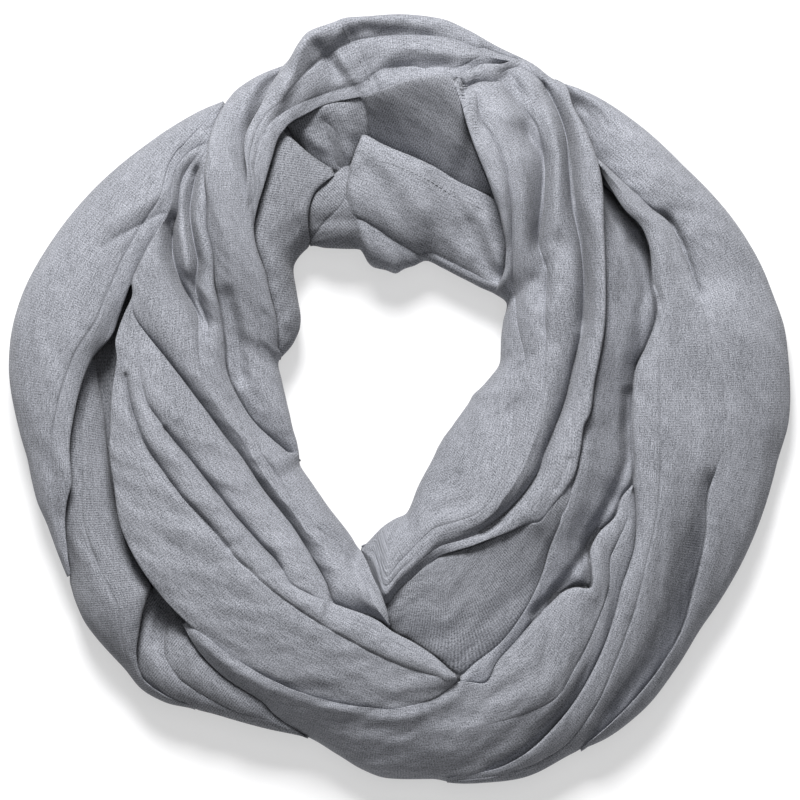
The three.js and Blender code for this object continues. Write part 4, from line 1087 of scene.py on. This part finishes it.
def jersey(name, dark, light, rib_turn=90.0, rib_tone=0.05):
    """Heather grey jersey: flecks drawn out along the cloth, fine ribs across it and a soft nap."""
    material, tree, shader = new_material(name, Roughness=0.92, Specular_IOR_Level=0.15, Sheen_Weight=0.08,
                                          Sheen_Roughness=0.6)
    uv = tree.nodes.new("ShaderNodeUVMap")
    uv.uv_map = "cloth"
    cloth = uv.outputs["UV"]
    streaks = noise(tree, cloth, (0.16, 1.3))
    flecks = noise(tree, cloth, (1.25, 1.7), 1, 0.6)
    tone = noise(tree, cloth, (0.02, 0.045))
    rib = ribs_across(tree, cloth, rib_turn)
    centred = math_node(tree, "SUBTRACT", rib, 0.5)
    mixed = weighted_sum(tree, [(streaks, 0.28), (flecks, 0.60), (tone, 0.12), (centred, rib_tone)])
    tint(tree, shader, mixed, (0.30, dark), (0.72, light))
    bump = tree.nodes.new("ShaderNodeBump")
    bump.inputs["Strength"].default_value = 0.55
    bump.inputs["Distance"].default_value = RIB_DEPTH * MM
    tree.links.new(weighted_sum(tree, [(rib, 0.35), (flecks, 0.9)]), bump.inputs["Height"])
    tree.links.new(bump.outputs["Normal"], shader.inputs["Normal"])
    return material


def thread():
    """Grey sewing thread with a slight change of tone along it."""
    material, tree, shader = new_material("thread", Roughness=0.6)
    place = tree.nodes.new("ShaderNodeTexCoord")
    tone = noise(tree, place.outputs["Object"], (0.8, 0.8), 1)
    tint(tree, shader, tone, (0.3, (0.16, 0.165, 0.185)), (0.7, (0.33, 0.34, 0.37)))
    return material


# Floor, light and camera

WHITE = (1, 1, 1, 1)
FLOOR_HALF, FLOOR_HEIGHT = 6.0, -0.0006
LIGHT_TARGET = (0, 0, 0.02)


def plain_floor():
    """A pale floor just below the part."""
    material = new_material("pale_floor", Base_Color=(0.45, 0.45, 0.455, 1), Roughness=0.9,
                            Specular_IOR_Level=0.1, Emission_Color=WHITE, Emission_Strength=0.52)[0]
    mesh = bpy.data.meshes.new("floor")
    corners = [(x * FLOOR_HALF, y * FLOOR_HALF, 0) for x, y in ((-1, -1), (1, -1), (1, 1), (-1, 1))]
    mesh.from_pydata(corners, [], [(0, 1, 2, 3)])
    floor = add_object("floor", mesh)
    floor.location.z = FLOOR_HEIGHT
    floor.data.materials.append(material)


def area_light(name, place, size, power):
    """A square soft light that faces the part."""
    data = bpy.data.lights.new(name, "AREA")
    data.shape, data.size, data.energy = "SQUARE", size, power
    lamp = add_object(name, data)
    lamp.location = place
    lamp.rotation_euler = (Vector(LIGHT_TARGET) - Vector(place)).to_track_quat("-Z", "Y").to_euler()


def studio():
    """A window-like light from the back, a weak one from the top and a little even light."""
    world = bpy.data.worlds.new("studio")
    world.use_nodes = True
    background = world.node_tree.nodes["Background"]
    background.inputs["Color"].default_value = WHITE
    background.inputs["Strength"].default_value = 0.10
    scene = bpy.context.scene
    scene.world = world
    scene.view_settings.view_transform = "Standard"
    scene.view_settings.look = "None"
    area_light("key_light", (-0.22, 1.65, 1.95), size=0.7, power=108)
    area_light("top_light", (0.1, 0.3, 2.6), size=1.2, power=10)


# The camera is straight above, and the photograph's side is 432 mm at the cloth's middle height
CAMERA_HEIGHT = 6.0
FRAME_WIDTH = 0.432
MIDDLE_HEIGHT = 0.035


def camera_above():
    """A camera that looks straight down."""
    data = bpy.data.cameras.new("camera")
    data.sensor_width = 36.0
    data.lens = data.sensor_width * (CAMERA_HEIGHT - MIDDLE_HEIGHT) / FRAME_WIDTH
    data.clip_end = 100
    camera = add_object("camera", data)
    camera.location = (0, 0, CAMERA_HEIGHT)
    bpy.context.scene.camera = camera


# The model

def place_cloth(piece, node_name, slot):
    """The piece's material and its place in the model, with the part's own mesh hidden."""
    piece.data.materials.append(materials[slot])
    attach(piece, "root")
    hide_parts(node_name)


def place_stitches(stretch_name, grid):
    """The rows of stitches on one stretch."""
    made = []
    for name, row in STITCHES.items():
        if row["on"] == stretch_name:
            piece = make_stitches(name, grid, row)
            piece.data.materials.append(sewing_thread)
            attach(piece, "root")
            made.append(piece)
    return made


camera_above()
studio()
plain_floor()

materials = {
    "jersey_face": jersey("jersey_face", (0.075, 0.08, 0.09), (0.42, 0.43, 0.475)),
    # The reverse copy has its own ribs. Its colour is darker than the face, partly as painted shade on the
    # recessed stretches that it covers.
    "jersey_reverse": jersey("jersey_reverse", (0.06, 0.064, 0.072), (0.34, 0.348, 0.383), rib_turn=82.0,
                             rib_tone=0.12),
    # The inside copy is darker still: painted shade for the hidden layers, which show only in the gaps
    # between stretches.
    "jersey_inside": jersey("jersey_inside", (0.05, 0.053, 0.06), (0.24, 0.246, 0.27)),
}
sewing_thread = thread()

covers = []
for stretch_name, stretch in STRETCHES.items():
    grid = stretch_grid(stretch_name)
    covers.append(grid)
    cloth, face = make_stretch(stretch_name, grid)
    sewn = place_stitches(stretch_name, face)
    place_cloth(cloth, stretch_name, stretch.slot)
skin = make_hidden_layers(covers)
# The hidden layers take the jersey copy with painted shade.
place_cloth(skin, "hidden_layers", "jersey_inside")
